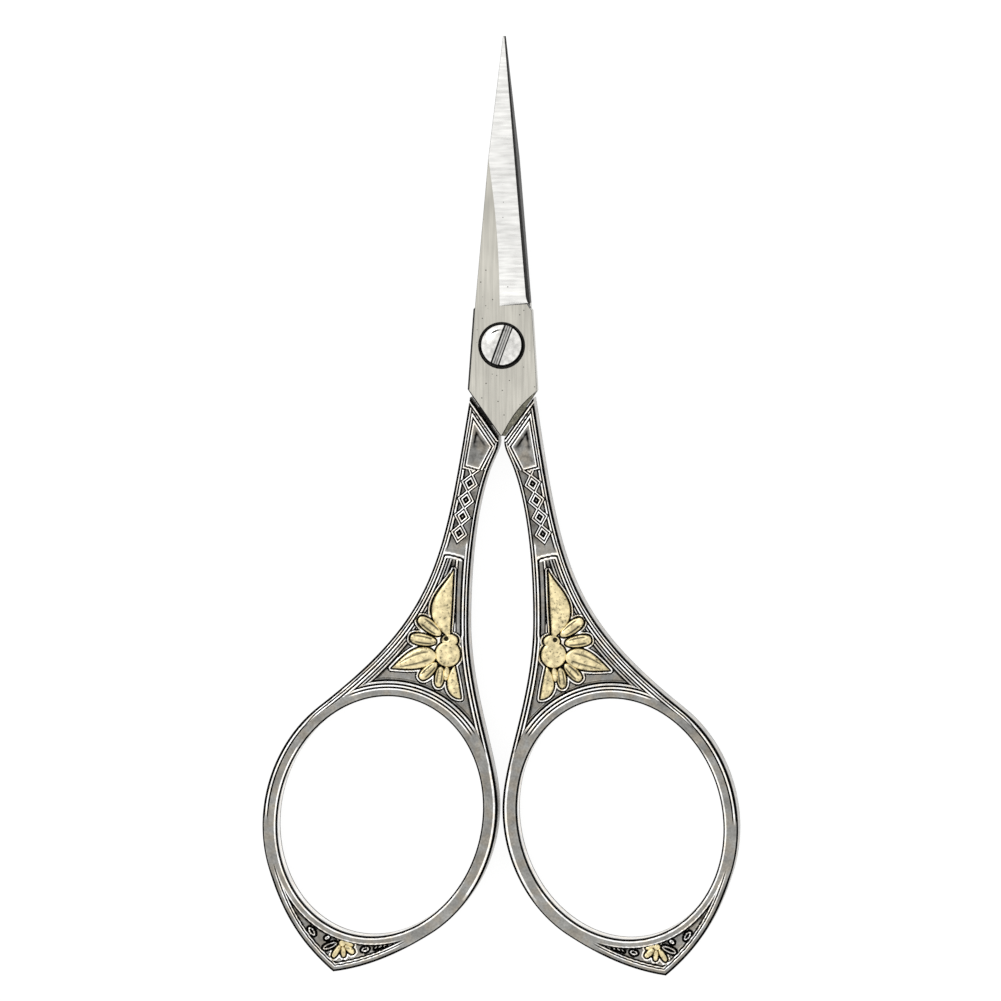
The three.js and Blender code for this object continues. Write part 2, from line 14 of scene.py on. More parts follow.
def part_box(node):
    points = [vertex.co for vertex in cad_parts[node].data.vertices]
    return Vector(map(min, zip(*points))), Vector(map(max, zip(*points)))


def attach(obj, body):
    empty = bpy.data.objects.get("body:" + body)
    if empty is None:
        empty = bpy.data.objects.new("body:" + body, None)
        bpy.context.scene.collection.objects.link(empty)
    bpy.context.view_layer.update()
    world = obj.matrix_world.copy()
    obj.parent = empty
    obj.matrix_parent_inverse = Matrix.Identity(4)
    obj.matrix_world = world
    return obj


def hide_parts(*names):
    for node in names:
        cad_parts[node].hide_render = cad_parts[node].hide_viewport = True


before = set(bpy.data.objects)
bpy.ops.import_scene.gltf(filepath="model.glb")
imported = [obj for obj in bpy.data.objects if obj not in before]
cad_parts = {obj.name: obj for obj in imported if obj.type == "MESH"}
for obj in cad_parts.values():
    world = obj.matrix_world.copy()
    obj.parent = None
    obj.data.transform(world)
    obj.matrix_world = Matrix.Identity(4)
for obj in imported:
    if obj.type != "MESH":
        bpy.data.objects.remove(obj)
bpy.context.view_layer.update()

# Blades
# Two like stampings of stainless steel, brushed along their length. The cutting edge is ground
# across the blade, and the step beside the tang keeps the dark skin of the rolled strip. The
# walls, the counterbore and the rounded edges are painted near black as shade.
MM = 0.001
# Each half's name, its body, and whether it is turned over
HALVES = (("front", "front_half", False), ("back", "back_half", True))
THICKNESS = (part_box("front_handle")[1][2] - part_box("front_handle")[0][2]) / MM
BLADE_THICKNESS = 2.25
BLADE_REACH = 38.1  # from the pivot to the tip, as stamped
HONED_REACH = 37.7
HONED_FROM = 4.0  # the height above the pivot from which honing slims the blade
STAMPED_SIDES = ((-3.41, 5.1, -0.15), (3.0, 6.3, 0.15))  # spine, then edge: foot, its height, tip
HONED_SIDES = ((-3.25, 5.1, -0.14), (2.76, 6.3, 0.02))
GRIND_APEX = (-1.72, 22.9)  # where the top of the grinding meets the spine
GRIND_HOLLOW = 0.34
GRIND_CUTS = 15
LONG_EDGE = 10.0  # no other edge at the top of the grinding is as long
EDGE_BREAK = 0.11  # rounding of the blade's outline, painted dark as shade
COUNTERBORE_RADIUS = 2.85
DARK_WALLS_FROM = 4.5  # the height above the pivot from which the walls are painted dark as shade
TANG_TOP = -5.0
STEP_DROP = 0.5  # the step beside the tang lies at least this far down
# How far a face's normal stands up: a wall's less than the first, a ground face's between the
# others, and a flat face's more than the last
WALL_NORMAL, GROUND_NORMAL, FLAT_NORMAL = 0.3, 0.5, 0.95
LENGTHWAYS, CROSSWAYS, WALLS, SKINNED, ROUNDED, INNER = range(6)  # material slots
SCRATCH_DEPTH = 0.004
STEEL = (0.485, 0.47, 0.42, 1)
GROUND_STEEL = (0.70, 0.695, 0.675, 1)
# Painted shade: the near-black steel of the walls, the counterbore and the rounded edges
PAINTED_SHADE_STEEL = (0.05, 0.048, 0.045, 1)
SPINE_SHADE_WIDTH = 0.62  # how far in from the spine the inner faces are painted dark as shade
CASTING_SHADE_TOP = -4.7  # the height below which they are painted dark as shade beside the castings
SKIN = (0.36, 0.35, 0.28, 1)


def turned_over(points):
    """Where a point of the front half lies on the back half: half a turn about the Y axis."""
    return points * (-1, 1, -1) + (0, 0, THICKNESS)


def across_at(height, sides):
    """Where the spine and the edge lie at a height: each runs straight from its foot to the tip."""
    return [
        tip + (foot - tip) * (BLADE_REACH - height) / (BLADE_REACH - foot_height)
        for foot, foot_height, tip in sides
    ]


def honed(points):
    """Points of the stamped front blade moved to its honed outline. A point keeps its share of the
    way from the spine to the edge, and heights shrink evenly towards the shorter tip."""
    x, y, z = points.T
    spine, edge = across_at(y, STAMPED_SIDES)
    new_spine, new_edge = across_at(y, HONED_SIDES)
    slimmed = new_spine + (x - spine) * (new_edge - new_spine) / (edge - spine)
    shrunk = HONED_FROM + (y - HONED_FROM) * (HONED_REACH - HONED_FROM) / (BLADE_REACH - HONED_FROM)
    above = y > HONED_FROM
    return np.column_stack([np.where(above, slimmed, x), np.where(above, shrunk, y), z])


def hollow_ground(shape):
    """Bends the long top line of the grinding, which a round wheel leaves hollow: points at shares
    of the line move across by a half sine, and its upper end climbs the spine."""
    for edge in shape.edges:
        slopes = sorted(abs(face.normal.z) for face in edge.link_faces)
        at_grinding = GROUND_NORMAL < slopes[0] < FLAT_NORMAL < slopes[-1]
        if at_grinding and edge.calc_length() > LONG_EDGE * MM:
            line = edge
    foot, apex = sorted((vertex.co.copy() for vertex in line.verts), key=lambda place: place.y)
    bmesh.ops.subdivide_edges(shape, edges=[line], cuts=GRIND_CUTS)
    for vertex in shape.verts:
        share = (vertex.co.y - foot.y) / (apex.y - foot.y)
        if (vertex.co - foot.lerp(apex, share)).length < 1e-7:
            side = abs(foot.x) + (abs(GRIND_APEX[0]) * MM - abs(foot.x)) * share
            side -= GRIND_HOLLOW * MM * np.sin(np.pi * share)
            vertex.co.x = side * np.sign(apex.x)
            vertex.co.y = foot.y + (GRIND_APEX[1] * MM - foot.y) * share


def softened_copy(node, is_back):
    """The CAD node's own surface, joined into flat faces, honed and hollow ground. A bevel rounds
    the edges where an upright wall meets another face, and gives the rounding its own material."""
    shape = bmesh.new()
    shape.from_mesh(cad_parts[node].data)
    bmesh.ops.remove_doubles(shape, verts=shape.verts, dist=1e-6)
    bmesh.ops.dissolve_limit(
        shape, angle_limit=np.radians(0.5), verts=shape.verts, edges=shape.edges
    )
    points = np.array([vertex.co for vertex in shape.verts]) / MM
    points = turned_over(honed(turned_over(points))) if is_back else honed(points)
    for vertex, point in zip(shape.verts, points):
        vertex.co = point * MM
    hollow_ground(shape)
    shape.normal_update()
    weight = shape.edges.layers.float.new("bevel_weight_edge")
    for edge in shape.edges:
        slopes = sorted(abs(face.normal.z) for face in edge.link_faces)
        if slopes[0] < WALL_NORMAL < slopes[-1] and edge.calc_face_angle() > np.radians(25):
            edge[weight] = 1.0
    mesh = bpy.data.meshes.new(f"{node}_dressed")
    shape.to_mesh(mesh)
    shape.free()
    piece = bpy.data.objects.new(f"{node}_dressed", mesh)
    bpy.context.collection.objects.link(piece)
    bevel = piece.modifiers.new("edge_break", "BEVEL")
    bevel.width = EDGE_BREAK * MM
    bevel.segments = 2
    bevel.limit_method = "WEIGHT"
    bevel.material = ROUNDED
    bevel.harden_normals = True
    mesh.polygons.foreach_set("use_smooth", np.ones(len(mesh.polygons), bool))
    mesh.set_sharp_from_angle(angle=np.radians(12))
    return piece


def new_material(name, metallic=1.0):
    """An empty material, metal unless told otherwise, with its node tree and shader."""
    material = bpy.data.materials.new(name)
    material.use_nodes = True
    shader = material.node_tree.nodes["Principled BSDF"]
    shader.inputs["Metallic"].default_value = metallic
    return material, material.node_tree, shader


def feed(tree, sockets, values):
    """Puts plain values and other nodes' outputs into a node's sockets, by name or number."""
    for key, value in values.items():
        if isinstance(value, bpy.types.NodeSocket):
            tree.links.new(value, sockets[key])
        else:
            sockets[key].default_value = value


def add_node(tree, kind, output, values, **settings):
    """Adds a node with its settings and inputs, and gives one of its outputs."""
    node = tree.nodes.new(kind)
    for name, value in settings.items():
        setattr(node, name, value)
    feed(tree, node.inputs, values)
    return node.outputs[output]


def grain(tree, scale, detail=2.0, turn=0.0):
    """Noise on Object coordinates, stretched: scale gives its cells per metre on each axis."""
    place = add_node(tree, "ShaderNodeTexCoord", "Object", {})
    stretch = {"Vector": place, "Scale": scale, "Rotation": (0, 0, turn)}
    stretched = add_node(tree, "ShaderNodeMapping", "Vector", stretch)
    noise = {"Vector": stretched, "Scale": 1.0, "Detail": detail}
    return add_node(tree, "ShaderNodeTexNoise", "Fac", noise)


def ranged(tree, value, low, high, from_low=0.3, from_high=0.7):
    """The value carried from its own range to another, held at the ends."""
    ends = {"From Min": from_low, "From Max": from_high, "To Min": low, "To Max": high}
    return add_node(tree, "ShaderNodeMapRange", "Result", {"Value": value, **ends})


def tinted(tree, colour, tint, share=1.0):
    """A share of a tint, or of a grey factor, multiplied into a colour."""
    values = {"Factor": share, "A": colour, "B": tint}
    settings = {"data_type": "RGBA", "blend_type": "MULTIPLY"}
    return add_node(tree, "ShaderNodeMix", "Result", values, **settings)


def combined(tree, a, b, operation="MULTIPLY"):
    """Two values multiplied, or combined another way."""
    return add_node(tree, "ShaderNodeMath", "Value", {0: a, 1: b}, operation=operation)


def specks(tree, cells, size, share):
    """Dark pin holes, 0 in a hole and 1 elsewhere: points of a Voronoi pattern, of which a share
    shows."""
    place = add_node(tree, "ShaderNodeTexCoord", "Object", {})
    distance = add_node(
        tree, "ShaderNodeTexVoronoi", "Distance", {"Vector": place, "Scale": cells}
    )
    cell = {"Color": distance.node.outputs["Color"]}
    drawn = add_node(tree, "ShaderNodeSeparateColor", "Red", cell)
    outside = ranged(tree, distance, 0.0, 1.0, size * 0.6, size)
    return combined(tree, outside, combined(tree, drawn, share, "GREATER_THAN"), "MAXIMUM")


def bumps(tree, height, depth):
    """Normals for a height pattern of a depth in millimetres."""
    values = {"Strength": 1.0, "Distance": depth * MM, "Height": height}
    return add_node(tree, "ShaderNodeBump", "Normal", values)


def brushed_steel(name, colour, scale, contrast, rough, turn=0.0, speck_share=0.12):
    """Steel with fine scratches one way, soft blotches and a few pin holes."""
    material, tree, shader = new_material(name)
    scratches = grain(tree, scale, turn=turn)
    blotches = ranged(tree, grain(tree, (260, 180, 180), 3.0), 0.9, 1.1)
    holes = ranged(tree, specks(tree, 1500, 0.14, speck_share), 0.15, 1.0, 0.0, 1.0)
    factor = combined(tree, ranged(tree, scratches, 1 - contrast, 1 + contrast), blotches)
    feed(tree, shader.inputs, {
        "Base Color": tinted(tree, colour, combined(tree, factor, holes)),
        "Roughness": ranged(tree, scratches, rough * 0.85, rough * 1.2),
        "Normal": bumps(tree, scratches, SCRATCH_DEPTH),
    })
    return material


def inner_face():
    """The faces that slide on each other: ground bright, but painted dark as shade in a band along
    the spine and beside the castings. The spine is the line |x| = |tip| + slope * (reach - y)."""
    material, tree, shader = new_material("inner_face")
    place = add_node(tree, "ShaderNodeTexCoord", "Object", {})
    across = add_node(tree, "ShaderNodeSeparateXYZ", "X", {"Vector": place})
    along = across.node.outputs["Y"]
    foot, foot_height, tip = HONED_SIDES[0]
    slope = (tip - foot) / (BLADE_REACH - foot_height)
    limit = (slope * BLADE_REACH - tip - SPINE_SHADE_WIDTH) * MM
    side = combined(tree, across, 1.0, "ABSOLUTE")
    leaned = combined(tree, side, combined(tree, along, slope), "ADD")
    spine = ranged(tree, leaned, 0.0, 1.0, limit - 0.06 * MM, limit)
    corner = ranged(tree, along, 1.0, 0.0, (CASTING_SHADE_TOP - 0.3) * MM, CASTING_SHADE_TOP * MM)
    # Painted shade along the spine and beside the castings
    painted_shade = ranged(tree, combined(tree, spine, corner, "MAXIMUM"), 1.0, 0.07, 0.0, 1.0)
    scratches = ranged(tree, grain(tree, (160, 2600, 500), turn=np.radians(4)), 0.86, 1.1)
    factor = combined(tree, combined(tree, scratches, painted_shade), 0.85)
    feed(tree, shader.inputs, {
        "Base Color": tinted(tree, GROUND_STEEL, factor),
        "Roughness": 0.4,
    })
    return material


finishes = (  # in the order of the material slots
    brushed_steel("brushed_blade", STEEL, (4200, 150, 500), 0.1, 0.34, speck_share=0.5),
    brushed_steel(
        "ground_bevel", GROUND_STEEL, (110, 2400, 500), 0.17, 0.3, turn=np.radians(-5)
    ),
    brushed_steel("painted_shade_wall", PAINTED_SHADE_STEEL, (3000, 900, 500), 0.9, 0.5),
    brushed_steel("rolled_skin", SKIN, (2600, 2300, 2300), 0.6, 0.6),
    brushed_steel("painted_shade_edge", PAINTED_SHADE_STEEL, (1500, 1500, 1500), 0.95, 0.5),
    inner_face(),
)


def dress_blade(node, body, is_back):
    """A blade with its finishes, chosen by where a face lies and how it points."""
    blade = softened_copy(node, is_back)
    mesh = blade.data
    for material in finishes:
        mesh.materials.append(material)
    normals = np.array([face.normal for face in mesh.polygons])
    centres = np.array([face.center for face in mesh.polygons]) / MM
    if is_back:
        normals = normals * (-1, 1, -1)
        centres = turned_over(centres)
    across, along, height = centres.T
    upright = normals[:, 2]
    near = 0.05
    slots = np.full(len(centres), LENGTHWAYS, np.int32)
    slots[(upright > GROUND_NORMAL) & (upright < FLAT_NORMAL)] = CROSSWAYS
    # Painted shade: walls above this height and the counterbore take the near-black steel
    slots[(abs(upright) < WALL_NORMAL) & (along > DARK_WALLS_FROM)] = WALLS
    stepped = (along < TANG_TOP) & (height < THICKNESS - STEP_DROP)
    slots[(upright > FLAT_NORMAL) & stepped] = SKINNED
    in_hole = np.hypot(across, along) < COUNTERBORE_RADIUS
    slots[in_hole & (height < THICKNESS - near)] = WALLS
    inside = abs(height - (THICKNESS - BLADE_THICKNESS)) < near
    slots[(upright < -FLAT_NORMAL) & inside] = INNER
    mesh.polygons.foreach_set("material_index", slots)
    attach(blade, body)
    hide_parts(node)


for half, body, is_back in HALVES:
    dress_blade(f"{half}_blade", body, is_back)

# Pivot screw
# A turned steel screw with a low polished dome and a sawn slot. Its head lies in the front
# blade's counterbore and its thread is screwed into the back blade, flush with the outside.
HEAD_RADIUS = 2.6
HEAD_SINK = 0.75  # how far below the blade's outer face the head's foot lies
HEAD_FOOT = THICKNESS - HEAD_SINK
HEAD_RIM = 0.55
HEAD_DOME = 0.75
SHANK_RADIUS = 1.6
THREAD_RADIUS = 1.3
THREAD_PITCH = 0.4
THREAD_RIDGE = 0.09
THREAD_CHAMFER = 0.2
SLOT_HALF = 0.5
SLOT_DEPTH = 0.7
SLOT_FLOOR = HEAD_FOOT + HEAD_RIM + HEAD_DOME - SLOT_DEPTH
SLOT_LIP = 0.04
SLOT_LEAN = np.radians(20)
# Streaks on the slot's floor: distances from its middle, each with its tone
SLOT_STREAKS = ((0, 0.1), (0.08, -0.5), (0.15, -0.75), (0.24, -0.1), (0.33, 0.1), (0.4, -0.9))
RIM_SHADE = 0.975  # the share of the head's radius outside which it stays dark
RIM_SHADOW = 0.075  # the dark rim's extra share on its lower right side
RIM_SHADOW_BEARING = np.radians(-40)
DARK_REFLECTION_PLACE = 0.74  # the share of the radius where a painted dark reflection crosses the dome
DARK_REFLECTION_BEARING = np.radians(135)
DARK_REFLECTION_WIDTH = 0.06
DARK_REFLECTION_ARC = 0.45
DARK_REFLECTION_STRENGTH = 2.6
POLISHED = (0.74, 0.73, 0.70, 1)


def joined_mesh(name, parts, tones, crease):
    """One mesh in metres from (points, quads) parts in millimetres. Faces shade smoothly up to the
    crease angle, and an attribute named tone holds each point's finish, with painted shade and
    highlights where these are painted."""
    starts = np.cumsum([0] + [len(points) for points, _ in parts])
    points = np.concatenate([points for points, _ in parts]) * MM
    quads = np.concatenate([quads + start for (_, quads), start in zip(parts, starts)])
    mesh = bpy.data.meshes.new(name)
    mesh.vertices.add(len(points))
    mesh.vertices.foreach_set("co", points.astype(np.float32).ravel())
    mesh.loops.add(quads.size)
    mesh.loops.foreach_set("vertex_index", quads.astype(np.int32).ravel())
    mesh.polygons.add(len(quads))
    mesh.polygons.foreach_set("loop_start", np.arange(0, quads.size, 4, dtype=np.int32))
    mesh.update(calc_edges=True)
    attribute = mesh.attributes.new("tone", "FLOAT", "POINT")
    attribute.data.foreach_set("value", np.concatenate(tones).astype(np.float32))
    mesh.polygons.foreach_set("use_smooth", np.ones(len(quads), bool))
    mesh.validate()
    mesh.set_sharp_from_angle(angle=np.radians(crease))
    return mesh


def add_piece(name, mesh, material, body, node):
    """Makes the mesh a finished piece that rides on a body and stands for a CAD node."""
    piece = bpy.data.objects.new(name, mesh)
    bpy.context.collection.objects.link(piece)
    mesh.materials.append(material)
    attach(piece, body)
    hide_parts(node)


def wall_quads(lower, upper):
    """Quads that join closed loops of point numbers to the loops above them."""
    beside = [np.roll(loops, -1, axis=-1) for loops in (lower, upper)]
    return np.stack([lower, beside[0], beside[1], upper], -1).reshape(-1, 4)


def tube_quads(rings, around):
    """Quads between rings of points, each ring closed, facing outwards for rings that run
    anticlockwise as seen from the far end."""
    index = np.arange(rings * around).reshape(rings, around)
    return wall_quads(index[:-1], index[1:])


def rotated(vector, angle):
    """A plane vector, or an array of them, turned anticlockwise."""
    x, y = np.moveaxis(np.asarray(vector, float), -1, 0)
    cosine, sine = np.cos(angle), np.sin(angle)
    return np.stack([x * cosine - y * sine, x * sine + y * cosine], -1)


def eased(value, low, high):
    """0 below low, 1 above high, and a smooth step between."""
    share = np.clip((value - low) / (high - low), 0, 1)
    return share * share * (3 - 2 * share)


def screw_head():
    """The head as a stack of upright sections across the slot: at a distance s from the slot's
    middle the chord runs t = +-sqrt(R^2 - s^2), the top follows the dome
    z = rim + dome * sqrt(1 - r^2 / R^2), and inside the slot it drops to the slot's floor."""
    beyond = HEAD_RADIUS * np.sin(np.linspace(0, 1, 28) * np.pi / 2)
    # Each row: distance from the slot's middle, 1 where sunk, 1 where on the lip, and the tone. The
    #     # rows at the slot's sides and lip are painted black as shade
    rows = [(place, 1, 0, tone) for place, tone in SLOT_STREAKS] + [
        (SLOT_HALF, 1, 0, -1),
        (SLOT_HALF, 0, 1, -1),
        (SLOT_HALF + SLOT_LIP, 0, 0, -1),
        (SLOT_HALF + 0.1, 0, 0, 0.6),
        (SLOT_HALF + 0.17, 0, 0, 1),
    ] + [(place, 0, 0, 1) for place in beyond if place > SLOT_HALF + 0.2]
    mirrored = np.array(rows)[:0:-1] * (-1, 1, 1, 1)
    across, sunk, lip, tone_and_shade = np.concatenate([mirrored, rows]).T
    chord = np.sqrt(np.maximum(HEAD_RADIUS**2 - across**2, 0))
    share = np.sin(np.linspace(-1, 1, 45) * np.pi / 2)
    s = np.broadcast_to(across[:, None], (len(across), len(share)))
    t = chord[:, None] * share
    radial = np.clip((s**2 + t**2) / HEAD_RADIUS**2, 0, 1)
    top = HEAD_FOOT + HEAD_RIM + HEAD_DOME * np.sqrt(1 - radial)
    top = np.where(sunk[:, None] > 0, np.minimum(top, SLOT_FLOOR), top - lip[:, None] * SLOT_LIP)
    shadow = RIM_SHADE - RIM_SHADOW * (0.5 + 0.5 * np.cos(np.arctan2(t, s) - RIM_SHADOW_BEARING))
    rim = 1 - 2 * eased(np.sqrt(radial), shadow - 0.01, shadow + 0.01)
    # A painted dark reflection: an arc across the dome's upper left
    turned = (np.arctan2(t, s) - DARK_REFLECTION_BEARING + np.pi) % (2 * np.pi) - np.pi
    off_reflection = (np.sqrt(radial) - DARK_REFLECTION_PLACE) / DARK_REFLECTION_WIDTH
    dark_reflection = np.exp(-off_reflection**2 - (turned / DARK_REFLECTION_ARC) ** 2)
    tone_and_shade = np.minimum(rim, tone_and_shade[:, None]) - DARK_REFLECTION_STRENGTH * dark_reflection
    tones = np.concatenate([tone_and_shade, np.full_like(top, -1)], axis=1)
    upper = np.stack([s, t, top], -1)
    lower = np.stack([s, t, np.full_like(top, HEAD_FOOT)], -1)[:, ::-1]
    sections = np.concatenate([upper, lower], axis=1)
    sections[..., :2] = rotated(sections[..., :2], -SLOT_LEAN)
    rings, around = sections.shape[:2]
    return sections.reshape(-1, 3), tube_quads(rings, around)[:, ::-1], tones.ravel()


def threaded_shank():
    """The shank and thread: radius falls from the shank's to the thread's, and along the thread it
    follows a cosine of (height / pitch - turn), which winds the ridge as a helix."""
    around = 72
    top = BLADE_THICKNESS
    threaded = np.arange(THREAD_CHAMFER + 0.05, top, 0.05)
    heights = np.concatenate([[0, 0, THREAD_CHAMFER], threaded, [top, top, HEAD_FOOT]])[:, None]
    turn = np.linspace(0, 2 * np.pi, around, endpoint=False)
    wave = 0.5 - 0.5 * np.cos(2 * np.pi * heights / THREAD_PITCH - turn)
    radius = THREAD_RADIUS - THREAD_RIDGE * wave
    radius[0] = 0.01
    radius[1] = THREAD_RADIUS - THREAD_CHAMFER
    radius[2] = THREAD_RADIUS - THREAD_RIDGE
    radius[-2:] = SHANK_RADIUS
    upright = np.broadcast_to(heights, radius.shape)
    points = np.stack([radius * np.cos(turn), radius * np.sin(turn), upright], -1)
    return points.reshape(-1, 3), tube_quads(len(heights), around)


def tone_of(tree):
    """The tone attribute of the mesh."""
    return add_node(tree, "ShaderNodeAttribute", "Fac", {}, attribute_name="tone")


def screw_steel():
    """Polished steel that is dark where the tone falls to -1: painted shade in the slot, a painted
    shadow at the rim and a painted dark reflection across the dome.
    """
    material, tree, shader = new_material("polished_screw")
    shade = ranged(tree, tone_of(tree), 0.01, 1.0, -0.9, 0.3)
    marks = ranged(tree, grain(tree, (1900, 1900, 900), 3.0), 0.72, 1.12)
    feed(tree, shader.inputs, {
        "Base Color": tinted(tree, POLISHED, combined(tree, shade, marks)),
        "Roughness": 0.2,
    })
    return material


*head, head_tones = screw_head()
shank = threaded_shank()
screw_tones = [head_tones, np.zeros(len(shank[0]))]
screw = "pivot_screw"
screw_mesh = joined_mesh(f"{screw}_dressed", [head, shank], screw_tones, crease=35)
add_piece(f"{screw}_dressed", screw_mesh, screw_steel(), "screw", screw)

# Handle castings: their outlines
# Each handle is a zinc die casting, nickel plated, blackened in its recesses and rubbed bright on
# its ridges. Two rails run down the stem to an oval finger ring that ends in a pointed spur.
HOLE_WIDTH = 25.0
HOLE_LENGTH = 29.8
RING_LEAN = np.radians(14)
RING_BAND = 1.8
RING_GAP = 0.6
RING_DROP = 57.87
SHOULDER_TOP = np.array([3.88, -6.41])
SHOULDER_FOOT = np.array([0.367, -11.36])
NECK = np.array([1.56, -15.21])
WAIST = np.array([3.97, -33.95])
RAIL_TURN = np.radians(42)
SPUR_REACH = 19.95
SPUR_BEARING = np.radians(-73.4)
SPUR_HALF_TIP = np.radians(65.8)
SPUR_INNER_TURN = np.radians(228)
SPUR_OUTER_TURN = np.radians(-34.5)


def unit(vector):
    """The vector's direction."""
    return np.asarray(vector, float) / np.hypot(*vector)


def lean(degrees):
    """The direction down the stem, leaning outwards by an angle."""
    angle = np.radians(degrees)
    return np.array([np.sin(angle), -np.cos(angle)])


ring_reach = np.hypot(
    (HOLE_WIDTH / 2 + RING_BAND) * np.cos(RING_LEAN),
    (HOLE_LENGTH / 2 + RING_BAND) * np.sin(RING_LEAN),
)
RING_CENTRE = np.array([ring_reach + RING_GAP / 2, -RING_DROP])


def oval(turn, growth):
    """The point at a turn of the oval that lies a growth outside the finger hole: an ellipse of
    half axes (half width + growth, half length + growth), leaned over."""
    turn, growth = np.broadcast_arrays(np.asarray(turn, float), growth)
    x = (HOLE_WIDTH / 2 + growth) * np.cos(turn)
    y = (HOLE_LENGTH / 2 + growth) * np.sin(turn)
    return rotated(np.stack([x, y], -1), RING_LEAN) + RING_CENTRE


def oval_heading(turn):
    """The way the ring's outer oval runs, anticlockwise."""
    return unit(oval(turn + 1e-4, RING_BAND) - oval(turn - 1e-4, RING_BAND))


def oval_place(points):
    """The turn and growth of each point: growth solves the ellipse's equation by Newton's steps."""
    x, y = rotated(points - RING_CENTRE, -RING_LEAN).T
    growth = np.hypot(x, y) - HOLE_LENGTH / 2 + 1
    for _ in range(12):
        a, b = HOLE_WIDTH / 2 + growth, HOLE_LENGTH / 2 + growth
        excess = (x / a) ** 2 + (y / b) ** 2 - 1
        growth = growth + excess / (2 * (x**2 / a**3 + y**2 / b**3))
        growth = np.maximum(growth, -8)
    turn = np.arctan2(y / (HOLE_LENGTH / 2 + growth), x / (HOLE_WIDTH / 2 + growth))
    return np.where(turn < -np.pi / 2, turn + 2 * np.pi, turn), growth


def bend(start, start_heading, start_pull, end, end_heading, end_pull):
    """A cubic curve that leaves start along its heading and comes in to end along its own, with
    handles that are shares of the span."""
    start, end = np.asarray(start, float), np.asarray(end, float)
    span = np.hypot(*(end - start))
    near = start + np.asarray(start_heading) * start_pull * span
    far = end - np.asarray(end_heading) * end_pull * span
    t = np.linspace(0, 1, 81)[:, None]
    inner = 3 * (1 - t) ** 2 * t * near + 3 * (1 - t) * t**2 * far
    return (1 - t) ** 3 * start + inner + t**3 * end


def spaced(line, shares):
    """Points of a line at shares of its length."""
    length = np.concatenate([[0], np.cumsum(np.hypot(*np.diff(line, axis=0).T))])
    shares = np.asarray(shares) * length[-1]
    return np.stack([np.interp(shares, length, line[:, axis]) for axis in (0, 1)], -1)


def chained(*lines):
    """Lines joined end to end."""
    return np.concatenate([lines[0]] + [line[1:] for line in lines[1:]])


half_ratio = (HOLE_LENGTH / 2 + RING_BAND) / (HOLE_WIDTH / 2 + RING_BAND)
ring_inner_turn = np.pi - np.arctan(half_ratio * np.tan(RING_LEAN))
ring_inner = oval(ring_inner_turn, RING_BAND)
rail_end = oval(RAIL_TURN, RING_BAND)
outer_rail = bend(SHOULDER_TOP, lean(8.9), 0.5, rail_end, -oval_heading(RAIL_TURN), 0.43)
inner_rail = chained(
    bend(SHOULDER_FOOT, unit((-0.15, -1)), 0.3, NECK, lean(20), 0.5),
    bend(NECK, lean(20), 0.3, WAIST, lean(0), 0.3),
    bend(WAIST, lean(0), 0.4, ring_inner, lean(0), 0.25),
)
spur_tip = RING_CENTRE + SPUR_REACH * rotated((1, 0), SPUR_BEARING)
spur_under = bend(
    oval(SPUR_INNER_TURN, RING_BAND), oval_heading(SPUR_INNER_TURN), 0.36,
    spur_tip, rotated((1, 0), SPUR_BEARING + SPUR_HALF_TIP), 0.33,
)
spur_side = bend(
    oval(SPUR_OUTER_TURN, RING_BAND), -oval_heading(SPUR_OUTER_TURN), 0.42,
    spur_tip, rotated((1, 0), SPUR_BEARING - SPUR_HALF_TIP), 0.33,
)
ring_outer_arc = oval(np.linspace(RAIL_TURN, SPUR_OUTER_TURN, 60), RING_BAND)
ring_inner_arc = oval(np.linspace(ring_inner_turn, SPUR_INNER_TURN, 50), RING_BAND)
outer_edge = chained(outer_rail, ring_outer_arc, spur_side)
inner_edge = chained(inner_rail, ring_inner_arc, spur_under)
shoulder_edge = np.array([SHOULDER_TOP, SHOULDER_FOOT])

# Handle castings: their ornament
# The dies are cut with nested lines along every edge, a kite at the shoulder, four linked lozenges
# down the neck, a half flower of gilt petals in the fan panel and a small flower in the spur.
# Tones run from -1, a black groove, through 0, the satin ground, to 1, a bright ridge. Each
# # profile gives distances from an edge and the tones there. Where a profile starts at the
# # casting's own edge, at the outline, the hole or the shoulder, the black at the edge is painted
# # shade on its rounding, not a groove.
LINE_STEEPNESS = 1.9
OUTER_FAN = ((0, 0.19, 0.31, 0.44, 0.61, 0.8, 1.0, 1.2, 1.35, 1.5, 1.7, 1.88, 2.05),
             (-1, -1, 1, -1, 1, -1, 1, -0.9, 0.3, -0.8, 0.3, -0.9, 0))
INNER_FAN = ((0, 0.18, 0.31, 0.46, 0.68, 0.92, 1.12, 1.38, 1.48, 1.67, 1.87, 2.0),
             (-1, -1, 1, -1, 1, -1, 0, 0, -1, 1, -1, 0))
INNER_LOW = ((0, 0.18, 0.34, 0.55, 0.8, 1.0, 1.15), (-1, -1, 0.9, -1, 1, -1, 0))
LOWER_FAN = ((0.8, 0.93, 1.12, 1.33, 1.54, 1.76, 2.0, 2.2), (0.03, 0.9, -1, 1, -1, 1, -1, 0))
NECK_OUTER = ((0, 0.2, 0.33, 0.47, 0.66, 0.86, 1.02), (-1, -1, 1, -1, 1, -0.8, 0))
NECK_INNER = ((0, 0.16, 0.3, 0.44, 0.58), (-1, -1, 1, -1, 0))
SHOULDER = ((0, 0.16, 0.32, 0.49, 0.67), (-1, -1, 1, -1, 1))
KITE_LINES = ((-0.3, -0.05, 0.1, 0.28, 0.46, 0.64, 0.82, 1.0, 1.18, 1.36, 1.54),
              (-0.06, -0.03, 1, -1, 1, -1, 1, -1, 1, -1, 1))
LOZENGE_LINES = ((0, 0.18, 0.36, 0.58, 0.79, 1.0, 1.2, 1.34), (0.2, -0.3, -1, 1, -1, 1, -1, -0.08))
